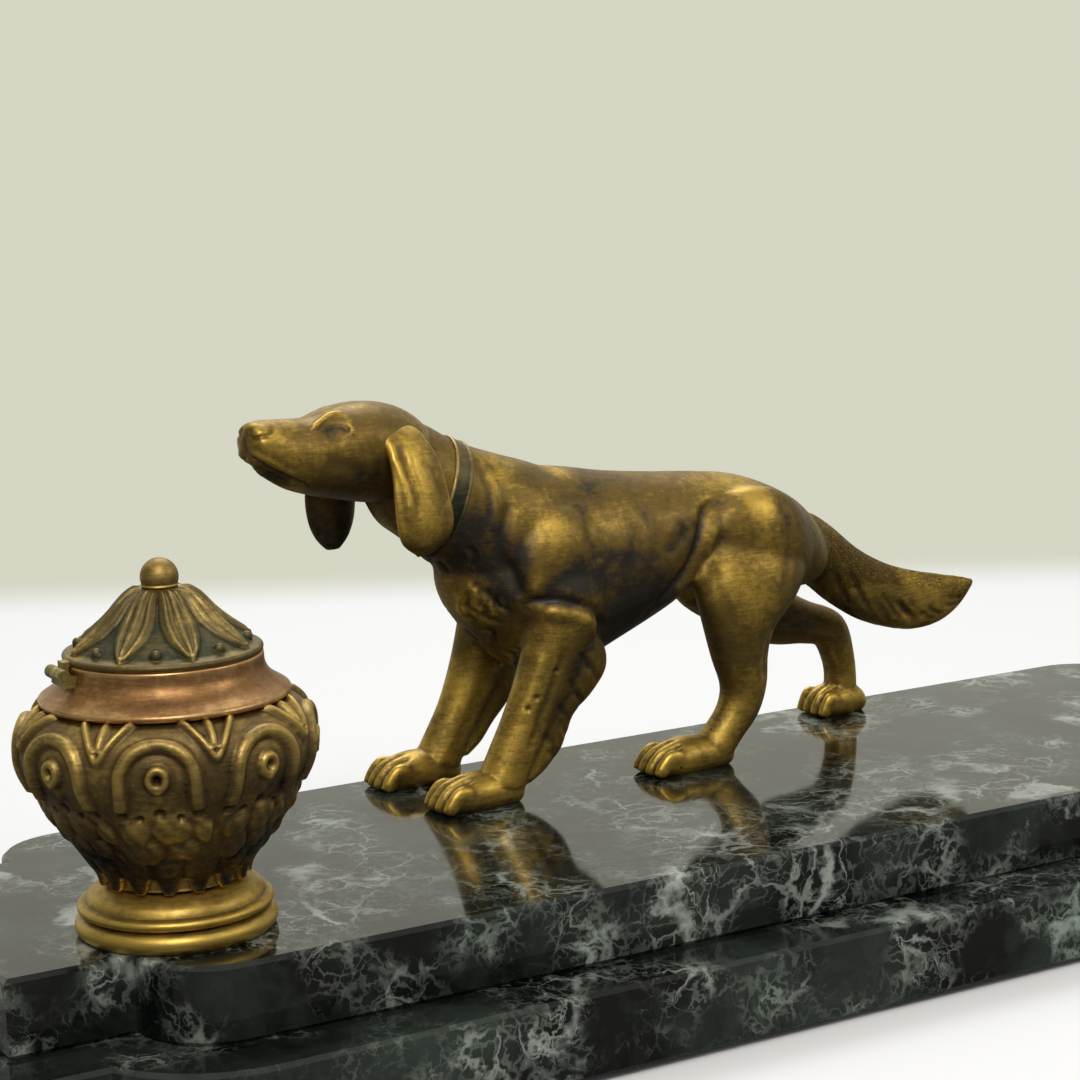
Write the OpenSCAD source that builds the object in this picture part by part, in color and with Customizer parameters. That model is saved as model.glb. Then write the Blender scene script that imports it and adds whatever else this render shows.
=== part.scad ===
// Desk inkstand: a bronze setter and a lidded urn inkwell on a two-step marble base.
// The origin is on the table under the middle of the base. +X runs along the base, away from the
// urn, +Y to the back and +Z up.

/* [Marble base] */
// Length of the upper slab between the ends of its wings
slab_length = 384; // [376:2:420]
// Length of the upper slab without its wings
slab_body_length = 332; // [320:2:350]
// Depth of the upper slab from front to back
slab_depth = 111.4; // [108:0.2:130]
// Depth of the wings from front to back
wing_depth = 78; // [60:1:78]
// Thickness of the upper slab
upper_thick = 16; // [14:0.5:20]
// Thickness of the lower slab
lower_thick = 18; // [16:0.5:24]
// How far the lower slab reaches past the upper one
ledge = 14.4; // [10:0.2:18]
// Radius of the upper slab's corners
corner_r = 16.8; // [12:0.2:16.8]
// Width of the small bevel along the edges of the marble
arris = 0.9; // [0.5:0.1:1.5]
// Thickness of the felt pads under the base
pad_thick = 1.6; // [1:0.1:3]
// Radius of the felt pads
pad_r = 9; // [6:0.5:12]

/* [Urn] */
// Distance of the urn's axis to the left of the base's middle
urn_left = 152; // [146:1:156]
// Distance of the urn's axis from the upper slab's front edge
urn_in = 28.9; // [26:0.1:33]
// Widest radius of the bowl
bowl_r = 29.4; // [28.8:0.2:30.4]
// Wall of the bowl
bowl_wall = 4; // [3:0.2:5]
// Number of lobes round the underside of the bowl
lobe_count = 16; // [12:1:18]
// Number of arches round the shoulder of the bowl, and of leaves on the lid
arch_count = 8; // [6:1:9]
// Direction in degrees of the first arch
arch_turn = 19; // [0:1:45]
// Inside radius of the arches
arch_r = 5.6; // [4:0.2:6.4]
// Radius of the lid and of the band that it closes on
lid_r = 19.7; // [19:0.1:20.2]
// Height of the lid's dome over its rim
dome_height = 13.4; // [11:0.2:16]
// Wall of the lid
lid_wall = 1.6; // [1.2:0.1:2.2]
// Radius of the ball on the lid
ball_r = 3.8; // [3.3:0.1:4.2]
// Gap between the lid's inner lip and the band, and round the liner's flange
lip_gap = 0.35; // [0.2:0.05:0.6]
// Gap between the ink liner and the bore of the band
liner_gap = 0.7; // [0.5:0.1:3.3]
// Wall of the ink liner
liner_wall = 1.8; // [1.2:0.1:2.6]

/* [Hinge] */
// Radius of the hinge pin
pin_r = 0.6; // [0.45:0.05:0.7]
// Running clearance round the pin in the lid's knuckle
pin_gap = 0.05; // [0.02:0.01:0.09]
// Outside radius of the knuckles
knuckle_r = 1.3; // [1.2:0.1:1.5]
// Width of the lid's knuckle
knuckle_w = 2.8; // [2.4:0.2:3.6]
// Gap between neighbouring knuckles
knuckle_gap = 0.25; // [0.15:0.05:0.4]

/* [Dog] */
// Distance of the dog's middle plane from the upper slab's back edge
dog_in = 24.3; // [24.3:0.1:27]
// Distance of each leg from the dog's middle plane
leg_spread = 13.8; // [12:0.2:15]
// Width of the dog's collar
collar_w = 4.5; // [3:0.1:6]
// How far the dog's head is turned to the front, in degrees
head_turn = 12; // [6:1:14]
// How far the dog's collar stands off its neck
collar_t = 0.9; // [0.6:0.1:1.4]
// Sides of each ring of the dog's trunk
trunk_sides = 20; // [16:2:26]

/* [Fixings] */
// Radius of the stud under the urn
urn_stud_r = 2; // [1.5:0.25:2.5]
// Radius of the studs under the paws
paw_stud_r = 1.5; // [1.25:0.25:1.75]
// Depth that a stud reaches into its paw
paw_stud_in = 3.5; // [2.5:0.5:4]
// Gap between a stud and its hole in the marble
hole_gap = 0.4; // [0.2:0.1:0.8]
// Depth of the sinks for the nuts under the base
sink_depth = 8; // [7:0.5:10]
// Thickness of the washers
washer_t = 1; // [0.6:0.1:1.4]

/* [Hidden] */
$fn = 48;
lower_z = pad_thick;
upper_z = lower_z + lower_thick;
top_z = upper_z + upper_thick;
urn_front = slab_depth / 2 - urn_in;
dog_back = slab_depth / 2 - dog_in;
little = 0.01;
far = 400;

// Heights on the urn, over the marble
foot_top = 11.2;
bowl_top = 46.9;
rim_z = 56;
liner_seat = 52.2;
liner_floor = 20.5;
flange_t = 1.2;
lip_r = lid_r - 2.4;
mouth_r = lid_r - 3.4;
liner_r = mouth_r - liner_gap;
lid_rim_t = 1.4;
ball_z = rim_z + dome_height + ball_r * 0.5;
hinge_x = lid_r + knuckle_r + 0.8;
hinge_z = rim_z - 1.4;
leaf_w = knuckle_w + 5;

// Where the paws stand, from the middle of the base: near fore, far fore, near hind, far hind
paw_spots = [[-59, -leg_spread], [-61, leg_spread], [0, -leg_spread], [66, leg_spread]];
pad_spots = [[-1, -1], [1, -1], [-1, 1], [1, 1]];

// ---- Marble base ----

// A bevelled block, longer than it is deep, with square corners
module bevelled_block(length, depth, thick) {
    intersection() {
        rotate([90, 0, 90]) linear_extrude(length, center = true) bevelled_end(depth, thick);
        rotate([90, 0, 0]) linear_extrude(depth, center = true) bevelled_end(length, thick);
    }
}

module bevelled_end(width, thick) {
    w = width / 2;
    polygon([[arris - w, 0], [w - arris, 0], [w, arris], [w, thick - arris],
        [w - arris, thick], [arris - w, thick], [-w, thick - arris], [-w, arris]]);
}

// The same block with its four corners rounded
module rounded_block(length, depth, thick, r) {
    rotate([90, 0, 90]) linear_extrude(length - 2 * r, center = true) bevelled_end(depth, thick);
    rotate([90, 0, 0]) linear_extrude(depth - 2 * r, center = true) bevelled_end(length, thick);
    for (x = [-1, 1], y = [-1, 1])
        translate([x * (length / 2 - r), y * (depth / 2 - r), 0])
            rotate_extrude() polygon([[0, 0], [r - arris, 0], [r, arris],
                [r, thick - arris], [r - arris, thick], [0, thick]]);
}

module slab(grow, thick) {
    rounded_block(slab_body_length + 2 * grow, slab_depth + 2 * grow, thick, corner_r + grow);
    bevelled_block(slab_length + 2 * grow, wing_depth + 2 * grow, thick);
}

module at_urn(z = top_z) {
    translate([-urn_left, -urn_front, z]) children();
}

module at_paws(z = top_z) {
    for (spot = paw_spots) translate([spot[0], dog_back + spot[1], z]) children();
}

module lower_slab() {
    color([0.07, 0.09, 0.08]) translate([0, 0, lower_z]) difference() {
        slab(ledge, lower_thick);
        at_urn(-little) cylinder(h = lower_thick + 1, r = urn_stud_r + hole_gap);
        at_urn(-little) cylinder(h = sink_depth + little, r = urn_stud_r * 3.6);
        at_paws(-little) cylinder(h = lower_thick + 1, r = paw_stud_r + hole_gap);
        at_paws(-little) cylinder(h = sink_depth + little, r = paw_stud_r * 3.6);
    }
}

module upper_slab() {
    color([0.09, 0.12, 0.11]) translate([0, 0, upper_z]) difference() {
        slab(0, upper_thick);
        at_urn(-little) cylinder(h = upper_thick + 1, r = urn_stud_r + hole_gap);
        at_paws(-little) cylinder(h = upper_thick + 1, r = paw_stud_r + hole_gap);
    }
}

module felt_pad(i) {
    color([0.13, 0.2, 0.14])
        translate([pad_spots[i][0] * (slab_body_length / 2 - pad_r),
            pad_spots[i][1] * (slab_depth / 2 - pad_r / 2), 0])
            cylinder(h = pad_thick, r = pad_r);
}

// ---- Urn ----

// Solid inside of the foot's outline: two rolled mouldings under a bell
module foot_form() {
    rotate_extrude() polygon(concat([[0, 0], [18.9, 0]],
        [for (a = [-70 : 20 : 70]) [18.2 + 2.1 * cos(a), 2.1 + 2.1 * sin(a)]],
        [[18.7, 4.4]],
        [for (a = [-60 : 30 : 60]) [18.4 + 1.4 * cos(a), 5.7 + 1.2 * sin(a)]],
        [[18.4, 7.2], [17.6, 8.2], [16.4, 9.2], [15, 10.2], [13.4, foot_top], [0, foot_top]]));
}

module urn_foot() {
    color([0.72, 0.56, 0.24]) at_urn() difference() {
        foot_form();
        translate([0, 0, -1]) cylinder(h = foot_top + 2, r = urn_stud_r + hole_gap / 2);
        translate([0, 0, -little]) cylinder(h = foot_top * 0.5, r = 13);
    }
}

// Outline of the bowl from its neck up to its shoulder, as radius and height
bowl_line = [[13.2, foot_top], [14.9, 13.4], [18.2, 17.4], [21.4, 21.8], [24.1, 26],
    [26.6, 30], [28.5, 33], [29.7, 35.7], [30, 38.4], [29.6, 41.6], [28.5, 44], [26.6, 46],
    [24.6, bowl_top]];
bowl_ring = [for (p = bowl_line) [p[0] + (bowl_r - 30) * min(1, (p[1] - foot_top) / 12), p[1]]];

// The bowl's radius at a height
function bowl_at(z) = lookup(z, [for (p = bowl_ring) [p[1], p[0]]]);

// One raised arch with the eye inside it, laid on the shoulder of the bowl
module arch() {
    lean = 8;
    translate([bowl_at(37) - 0.7, 0, 36.6]) rotate([0, 90 - lean, 0]) rotate([0, 0, 90]) {
        rotate_extrude(angle = 180, $fn = 18) translate([arch_r + 1, 0]) circle(r = 1.05, $fn = 5);
        for (side = [-1, 1]) translate([side * (arch_r + 1), 0.2, -0.1]) rotate([120, 0, 0])
            cylinder(h = 6, r1 = 1.05, r2 = 0.8, $fn = 5);
        translate([0, 0, -0.6]) sphere(r = 2.6, $fn = 8);
    }
}

// One lobe, running down the underside of the bowl onto the foot
module lobe() {
    low = [14.9, 12.4];
    high = [bowl_at(25) - 1.7, 25];
    lean = atan2(high[0] - low[0], high[1] - low[1]);
    reach = norm(high - low);
    translate([low[0], 0, low[1]]) {
        rotate([0, lean, 0]) cylinder(h = reach, r1 = 1.9, r2 = 2.2, $fn = 8);
        sphere(r = 1.9, $fn = 8);
    }
}

module urn_body() {
    color([0.42, 0.3, 0.14]) at_urn() difference() {
        cast() {
            rotate_extrude($fn = 48) polygon(concat([[0, foot_top]], bowl_ring, [[0, bowl_top]]));
            for (i = [0 : arch_count - 1]) rotate([0, 0, arch_turn + i * 360 / arch_count]) arch();
            for (i = [0 : lobe_count - 1]) rotate([0, 0, arch_turn + i * 360 / lobe_count]) lobe();
        }
        rotate_extrude() polygon(concat([[0, liner_floor - 1], [liner_r + lip_gap, liner_floor - 1]],
            [for (p = bowl_ring) if (p[1] > liner_floor && p[1] < 44) [p[0] - bowl_wall, p[1] + 1]],
            [[mouth_r + 1.2, 45.2], [mouth_r + 1.2, 60], [0, 60]]));
        translate([0, 0, foot_top - 1]) cylinder(h = 12, r = urn_stud_r);
        foot_form();
    }
}

// Solid inside of the collar's outline, a plain band that flares out over the bowl
module collar_form() {
    flare = [[2.9, 0], [3.2, 0.6], [4.8, 0.6], [5.2, 1.1], [4.9, 1.8], [3.9, 2.4], [2.5, 3.2],
        [1.4, 4.3], [0.6, 5.5], [0, 6.7]];
    rotate_extrude() polygon(concat([[0, bowl_top]],
        [for (p = flare) [lid_r + p[0], bowl_top + p[1]]], [[lid_r, rim_z], [0, rim_z]]));
}

module urn_collar() {
    color([0.55, 0.3, 0.17]) at_urn() difference() {
        collar_form();
        translate([0, 0, bowl_top - 1]) cylinder(h = 20, r = mouth_r);
        translate([0, 0, liner_seat]) cylinder(h = 20, r = lip_r);
    }
}

// The liner hangs by its flange on a step inside the collar
module ink_liner() {
    flange_r = lip_r - lip_gap;
    inner_r = liner_r - liner_wall;
    color([0.82, 0.86, 0.84, 0.6]) at_urn() rotate_extrude() polygon([[0, liner_floor],
        [liner_r - 1.6, liner_floor], [liner_r - 0.5, liner_floor + 0.5],
        [liner_r, liner_floor + 1.6], [liner_r, liner_seat], [flange_r, liner_seat],
        [flange_r, liner_seat + flange_t - 0.3], [flange_r - 0.3, liner_seat + flange_t],
        [inner_r - 0.8, liner_seat + flange_t], [inner_r, liner_seat - 1.5],
        [inner_r, liner_floor + 4.5], [inner_r - 1, liner_floor + 3],
        [inner_r - 3, liner_floor + 2.2], [0, liner_floor + 2]]);
}

// Outline of the dome over the lid's rim, as shares of the dome's radius and height
dome_line = [[1, 0], [0.965, 0.06], [0.855, 0.175], [0.765, 0.26], [0.65, 0.41], [0.56, 0.55],
    [0.48, 0.68], [0.4, 0.81], [0.28, 0.92], [0.2, 1]];
dome_z = rim_z + lid_rim_t;
dome_rise = dome_height - lid_rim_t;
dome_ring = [for (p = dome_line) [p[0] * (lid_r - 0.5), dome_z + p[1] * dome_rise]];

// One leaf of the lid: a pointed blade with a ridge along its middle, lying on the dome
module lid_leaf() {
    spine = [for (i = [1, 2, 3, 4, 5, 6, 7]) dome_ring[i]];
    half = [0.6, 2.9, 3.9, 3.6, 3, 2.4, 1.6];
    last = len(spine) - 1;
    sections = [for (i = [0 : last]) let (r = spine[i][0], z = spine[i][1])
        [[r + 0.6, 0, z + 0.5], [r - 0.2, half[i], z], [r - 2, 0, z - 1.2], [r - 0.2, -half[i], z]]];
    polyhedron([for (s = sections, p = s) p], concat([[0, 1, 2, 3]],
        [for (i = [0 : last - 1], k = [0 : 3], t = [0, 1]) let (n = (k + 1) % 4, a = 4 * i, b = a + 4)
            t == 0 ? [a + k, b + k, a + n] : [a + n, b + k, b + n]],
        [[for (k = [3 : -1 : 0]) 4 * last + k]]));
}

module urn_lid() {
    color([0.5, 0.42, 0.2]) at_urn() difference() {
        union() {
            translate([0, 0, rim_z]) cylinder(h = lid_rim_t, r = lid_r);
            rotate_extrude() polygon(concat([[0, dome_z]], dome_ring, [[0, dome_z + dome_rise]]));
            for (i = [0 : arch_count - 1])
                rotate([0, 0, arch_turn + (i + 0.5) * 360 / arch_count]) lid_leaf();
            for (i = [0 : arch_count - 1]) rotate([0, 0, arch_turn + i * 360 / arch_count])
                translate([dome_ring[1][0] - 1.1, 0, dome_ring[1][1] + 0.3]) sphere(r = 1.2);
            translate([0, 0, rim_z - 1.4]) cylinder(h = 2, r = lip_r - lip_gap);
        }
        rotate_extrude() polygon(concat([[0, rim_z - 2], [lip_r - lip_gap - lid_wall, rim_z - 2]],
            [for (p = dome_ring) if (p[0] > 7 && p[0] < lid_r - 1) [p[0] - lid_wall * 1.6, p[1] - lid_wall]],
            [[0, dome_z + dome_rise - lid_wall * 2.4]]));
        translate([0, 0, rim_z + 6]) cylinder(h = 20, r = 1.2);
    }
}

// The ball is turned with a collar under it, and a spigot that is riveted through the dome
module urn_finial() {
    seat_z = rim_z + dome_height;
    color([0.68, 0.54, 0.25]) at_urn() {
        difference() {
            translate([0, 0, ball_z]) sphere(r = ball_r);
            translate([0, 0, seat_z - 2 * ball_r]) cylinder(h = 2 * ball_r, r = ball_r + 1);
        }
        rotate_extrude() polygon([[0, seat_z], [3.6, seat_z], [3.8, seat_z + 0.3],
            [3.2, seat_z + 0.8], [0, ball_z]]);
        translate([0, 0, seat_z - 3]) cylinder(h = 3 + little, r = 1.2);
    }
}

// ---- Hinge on the left of the urn ----

module knuckle(from, to, r) {
    translate([-hinge_x, from, hinge_z]) rotate([-90, 0, 0]) cylinder(h = to - from, r = r);
}

module hinge_collar_leaf() {
    inner = knuckle_w / 2 + knuckle_gap;
    outer = leaf_w / 2;
    color([0.6, 0.48, 0.22]) at_urn() difference() {
        union() {
            for (side = [-1, 1]) {
                knuckle(side > 0 ? inner : -outer, side > 0 ? outer : -inner, knuckle_r);
                translate([-hinge_x, side > 0 ? inner : -outer, hinge_z - knuckle_r])
                    cube([hinge_x - lid_r + 1, outer - inner, knuckle_r * 0.9]);
            }
            translate([-hinge_x, -outer, hinge_z - knuckle_r - 1])
                cube([hinge_x - lid_r + 2, leaf_w, 1.1]);
        }
        knuckle(-inner, inner, knuckle_r + knuckle_gap);
        knuckle(-outer - 1, outer + 1, pin_r);
        collar_form();
    }
}

module hinge_lid_leaf() {
    half = knuckle_w / 2;
    color([0.6, 0.48, 0.22]) at_urn() difference() {
        union() {
            knuckle(-half, half, knuckle_r);
            translate([-hinge_x, -half, hinge_z + knuckle_r - 0.9])
                cube([1.6, knuckle_w, 0.9]);
            translate([-lid_r - 1.5, -half, hinge_z + knuckle_r - 0.9])
                cube([3, knuckle_w, rim_z + 1.9 - hinge_z - knuckle_r]);
        }
        knuckle(-half - 1, half + 1, pin_r + pin_gap);
        translate([0, 0, rim_z - 5]) cylinder(h = 5, r = lid_r + lip_gap);
        translate([0, 0, rim_z - little]) cylinder(h = 5, r = lid_r);
    }
}

module hinge_pin() {
    color([0.7, 0.58, 0.3]) at_urn() knuckle(-leaf_w / 2 - 0.4, leaf_w / 2 + 0.4, pin_r);
}

// ---- Fixings under the base ----

module stud(r, reach) {
    low = lower_z + sink_depth - washer_t - nut_height(r) - r;
    translate([0, 0, low]) cylinder(h = reach - low, r = r);
}

function nut_height(r) = r * 1.6;

module washer(r) {
    translate([0, 0, lower_z + sink_depth - washer_t]) difference() {
        cylinder(h = washer_t, r = r * 3);
        translate([0, 0, -1]) cylinder(h = washer_t + 2, r = r + 0.15);
    }
}

module nut(r) {
    translate([0, 0, lower_z + sink_depth - washer_t - nut_height(r)]) difference() {
        cylinder(h = nut_height(r), r = r * 2.05, $fn = 6);
        translate([0, 0, -1]) cylinder(h = nut_height(r) + 2, r = r);
    }
}

module urn_stud() { color([0.55, 0.5, 0.4]) at_urn(0) stud(urn_stud_r, top_z + 17); }
module urn_washer() { color([0.6, 0.55, 0.42]) at_urn(0) washer(urn_stud_r); }
module urn_nut() { color([0.6, 0.5, 0.3]) at_urn(0) nut(urn_stud_r); }
module paw_studs() { color([0.55, 0.5, 0.4]) at_paws(0) stud(paw_stud_r, top_z + paw_stud_in); }
module paw_washers() { color([0.6, 0.55, 0.42]) at_paws(0) washer(paw_stud_r); }
module paw_nuts() { color([0.6, 0.5, 0.3]) at_paws(0) nut(paw_stud_r); }

// ---- Dog ----
// Each form of the dog is skinned over stations. A station is the middle of a ring, as
// [x, y, z], its half height, its half width, the lean of its plane, and how much
// wider it is on its upper side. x runs from nose to tail, y from the dog's middle
// plane, and z from the marble.

function blend(a, b, c, d, t) =
    b + 0.5 * t * (c - a + t * (2 * a - 5 * b + 4 * c - d + t * (3 * (b - c) + d - a)));
function pick(list, i) = list[max(0, min(len(list) - 1, i))];
function fill_in(list, steps) = [for (i = [0 : len(list) - 2], s = [0 : steps - 1])
    blend(pick(list, i - 1), list[i], list[i + 1], pick(list, i + 2), s / steps),
    list[len(list) - 1]];

function ring_point(s, turn) =
    let (up = s[3] * sin(turn), side = s[4] * cos(turn) * (1 + s[6] * sin(turn)))
    [s[0] - up * sin(s[5]), s[1] + side, s[2] + up * cos(s[5])];

module skin(stations, steps = 2, sides = 12) {
    rings = fill_in(stations, steps);
    last = len(rings) - 1;
    polyhedron([for (s = rings, k = [0 : sides - 1]) ring_point(s, 360 * k / sides)], concat(
        [[for (k = [0 : sides - 1]) k]],
        [for (i = [0 : last - 1], k = [0 : sides - 1], t = [0, 1])
            let (n = (k + 1) % sides, a = sides * i, b = a + sides)
            t == 0 ? [a + k, b + k, a + n] : [a + n, b + k, b + n]],
        [[for (k = [sides - 1 : -1 : 0]) sides * last + k]]));
}

// Joins rigid forms into one cast skin; a size of zero leaves each side as it is
module cast() {
    resize([0, 0, 0]) union() children();
}

module at_dog() {
    translate([0, dog_back, top_z]) children();
}

module trunk_form() {
    skin([[-59.5, 0, 53, 2, 3, 0, 0], [-56, 0, 52, 9, 8.5, 0, 0], [-48, 0, 52.5, 18, 13.5, 0, 0],
        [-39, 0, 52, 24.8, 16.5, 0, -0.05], [-28, 0, 51.6, 25, 17.6, 0, -0.05],
        [-14, 0, 53.2, 21, 17.4, 0, -0.05], [0, 0, 55.4, 17.2, 16.2, 0, 0], [12, 0, 58, 13.6, 14.4, 0, 0],
        [24, 0, 56, 14, 15, 0, 0], [35, 0, 53, 13, 15, 0, 0], [43, 0, 50, 11, 12, 0, 0],
        [49, 0, 47, 6, 7, 0, 0], [51, 0, 46.5, 2, 3, 0, 0]], 2, trunk_sides);
}

module neck_form(grow = 0) {
    skin([for (s = [[-76, 0, 84, 10, 8.5, -14, 0], [-69, 0, 78.6, 12.6, 9.6, -28, 0],
        [-62, 0, 74, 13.2, 10.6, -35, 0], [-53, 0, 69, 15, 12.6, -36, 0],
        [-44, 0, 63, 18, 15, -35, 0], [-33, 0, 56, 19, 15.8, -25, 0]])
        s + [0, 0, 0, grow, grow, 0, 0]], 2, trunk_sides);
}

// The head looks a little towards the front; its stations are set straight ahead, then turned
module turned() {
    translate([-68, 0, 0]) rotate([0, 0, head_turn]) translate([68, 0, 0]) children();
}

// The muzzle and skull, with brows, eyelids, flews and the nose pad
module head_form() {
    turned() {
        skin([[-111.8, 0, 88.8, 2.4, 2.8, 8, 0], [-110.5, 0, 88.5, 5.2, 4.8, 8, 0.1],
            [-107, 0, 87.6, 6.7, 6, 5, 0], [-101.6, 0, 86.2, 7.8, 6.8, 0, -0.08],
            [-95.8, 0, 85.2, 8.7, 8, 0, -0.05], [-89.5, 0, 85.2, 10.2, 9.8, 0, 0.05],
            [-81, 0, 84.7, 11.8, 11.2, 0, 0.08], [-73, 0, 83.6, 11, 10.6, -8, 0.05],
            [-67, 0, 81.6, 8.8, 8.5, -20, 0], [-64, 0, 80.4, 5, 5, -20, 0]], 2, 18);
        for (side = [-1, 1]) {
            back = side > 0 ? 4 : 0;
            brow = [[-97, 5, 92.3], [-91.6, 4.3, 94.5], [-88.4, 5.8, 93.8], [-89.4, 8.6, 90.4]];
            for (i = [0 : 2]) hull() for (p = [brow[i], brow[i + 1]])
                translate([p[0] + back, side * p[1], p[2]]) sphere(r = 1.2, $fn = 8);
            translate([-92 + back / 2, side * 6.2, 90.8]) sphere(r = 2.2, $fn = 12);
            hull() {
                translate([-108.6, side * 3.6, 83.2]) sphere(r = 1.6, $fn = 8);
                translate([-100.8, side * 5.6, 79.6]) sphere(r = 1.9, $fn = 8);
            }
        }
        hull() {
            translate([-109.3, 0, 92]) sphere(r = 2.3, $fn = 10);
            for (side = [-1, 1]) translate([-109.5, side * 2, 91.4]) sphere(r = 1.9, $fn = 10);
        }
    }
}

module torso_form() {
    trunk_form();
    neck_form();
    for (side = [-1, 1]) {
        skin([[-50, side * 9, 50, 3, 3, 0, 0], [-44, side * 11, 53, 12, 6.5, 0, 0],
            [-34, side * 12, 54, 15, 7.2, 0, 0], [-24, side * 11.5, 54, 11, 6, 0, 0],
            [-17, side * 10, 54, 3, 3, 0, 0]], 2, 10);
        skin([[6, side * 7, 56, 3, 3, 0, 0], [13, side * 9.5, 56, 10, 6.4, 0, 0],
            [24, side * 10.5, 55, 13, 7.4, 0, 0], [35, side * 9.5, 52.5, 11.5, 6.6, 0, 0],
            [45, side * 6.5, 49, 3, 3, 0, 0]], 2, 10);
    }
}

module body_form() {
    torso_form();
    head_form();
}

module dog_body() { color([0.45, 0.33, 0.16]) at_dog() cast() body_form(); }

module ear_form(side) {
    shift = side > 0 ? [-2.5, 0, -1.3] : [0, 0, 0.4];
    turned() translate(shift)
        skin([[-77.6, side * 9, 92, 1.8, 2.4, -90, 0], [-77, side * 11.2, 88.8, 4.8, 2.2, -90, 0],
            [-75.6, side * 13.8, 82, 6.4, 1.9, -90, 0], [-74.6, side * 15.4, 75, 6.9, 1.8, -90, 0],
            [-74, side * 16, 68.5, 7.4, 1.8, -90, 0], [-74.6, side * 15.8, 64.2, 5.6, 1.8, -90, 0],
            [-75.2, side * 15.4, 61.6, 2.2, 1, -90, 0]], 2, 12);
}

module dog_ear(side) {
    color([0.5, 0.38, 0.18]) at_dog() cast() difference() {
        ear_form(side);
        body_form();
    }
}

// The collar lies round the middle of the neck, square to it
module dog_collar() {
    collar_spot = [-60.5, 0, 70];
    collar_lean = 22;
    color([0.16, 0.13, 0.09]) at_dog() cast() difference() {
        intersection() {
            neck_form(collar_t);
            translate(collar_spot) rotate([0, collar_lean, 0])
                cube([collar_w, far, far], center = true);
        }
        body_form();
    }
}

module dog_tail() {
    color([0.5, 0.37, 0.17]) at_dog() cast() difference() {
        skin([[40, 0, 50, 8, 6.5, 0, 0], [47, 0, 48.5, 9.6, 6, 0, 0], [54, 0, 43.8, 10.4, 5.2, 0, 0],
            [63, 0, 37.5, 9.6, 4.6, 0, 0], [72, 0, 33.4, 8.8, 4.2, 0, 0], [81, 0, 31, 8.2, 3.8, 0, 0],
            [90, 0, 30.4, 6.8, 3, 0, 0], [97, 0, 31.4, 4.4, 2, 0, 0], [102.5, 0, 33.6, 1, 0.8, 0, 0]],
            2, 14);
        torso_form();
    }
}

// A paw with four toes, flat under its sole; length runs from the toes to the heel
module paw(x, y, length) {
    toe_r = 2;
    intersection() {
        translate([x, y, 0]) {
            skin([[-length * 0.42, 0, 2.6, 1.8, 4, 0, 0], [-length * 0.3, 0, 3, 3.8, 5.9, 0, 0],
                [-length * 0.05, 0, 3.4, 4.8, 6, 0, 0], [length * 0.22, 0, 3.4, 4.4, 5.2, 0, 0],
                [length * 0.42, 0, 2.8, 3.4, 4.2, 0, 0], [length * 0.5, 0, 2.4, 1.4, 2.2, 0, 0]], 1, 12);
            for (k = [-1.5 : 1 : 1.5]) hull() {
                translate([-length * 0.24, k * 3.1, 4]) sphere(r = toe_r + 0.3, $fn = 6);
                translate([toe_r - length * (0.5 - 0.025 * abs(k)), k * 3.2, toe_r])
                    sphere(r = toe_r, $fn = 6);
            }
        }
        translate([-far / 2, -far / 2, 0]) cube([far, far, 60]);
    }
}

module paw_hole(i) {
    translate([paw_spots[i][0], paw_spots[i][1], -1]) cylinder(h = paw_stud_in + 1, r = paw_stud_r);
}

module dog_foreleg_near() {
    y = -leg_spread;
    color([0.66, 0.48, 0.18]) at_dog() difference() {
        cast() difference() {
            union() {
                skin([[-32, y + 1.5, 56, 10, 5.6, -102, 0], [-33, y, 48, 10, 6.6, -105, 0],
                    [-35.4, y, 39, 8.6, 6.4, -112, 0], [-39.5, y, 28, 7.5, 5.8, -117, 0],
                    [-45, y, 18, 6.2, 5.2, -118, 0], [-49.5, y, 10, 5.8, 5.2, -115, 0],
                    [-52.5, y, 4, 6, 5.6, -105, 0]], 2, 10);
                skin([[-28.5, y, 37, 3.4, 3, -108, 0], [-31.6, y, 30, 5, 3.2, -112, 0],
                    [-34.6, y, 23, 4.8, 3, -117, 0], [-38.8, y, 15, 4, 2.6, -120, 0],
                    [-44, y, 8, 2.4, 2.4, -125, 0]], 2, 8);
                paw(paw_spots[0][0], y, 24);
            }
            torso_form();
        }
        paw_hole(0);
    }
}

module dog_foreleg_far() {
    y = leg_spread;
    color([0.6, 0.43, 0.16]) at_dog() difference() {
        cast() difference() {
            union() {
                skin([[-32, y - 1.5, 56, 11, 5.6, -102, 0], [-33.5, y, 48, 11, 6.8, -105, 0],
                    [-37.5, y, 39, 9.5, 6.5, -112, 0], [-42.6, y, 27, 7.4, 5.8, -116, 0],
                    [-47.6, y, 16.8, 6.1, 5.2, -118, 0], [-52.4, y, 9, 5.6, 5.2, -115, 0],
                    [-55, y, 4, 6, 5.6, -105, 0]], 2, 10);
                skin([[-31.5, y, 30, 5, 3, -112, 0], [-34.5, y, 23, 5.4, 3, -117, 0],
                    [-39.5, y, 14.5, 4, 2.6, -120, 0], [-46, y, 7, 2.4, 2.4, -125, 0]], 2, 8);
                paw(paw_spots[1][0], y, 24);
            }
            torso_form();
        }
        paw_hole(1);
    }
}

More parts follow.
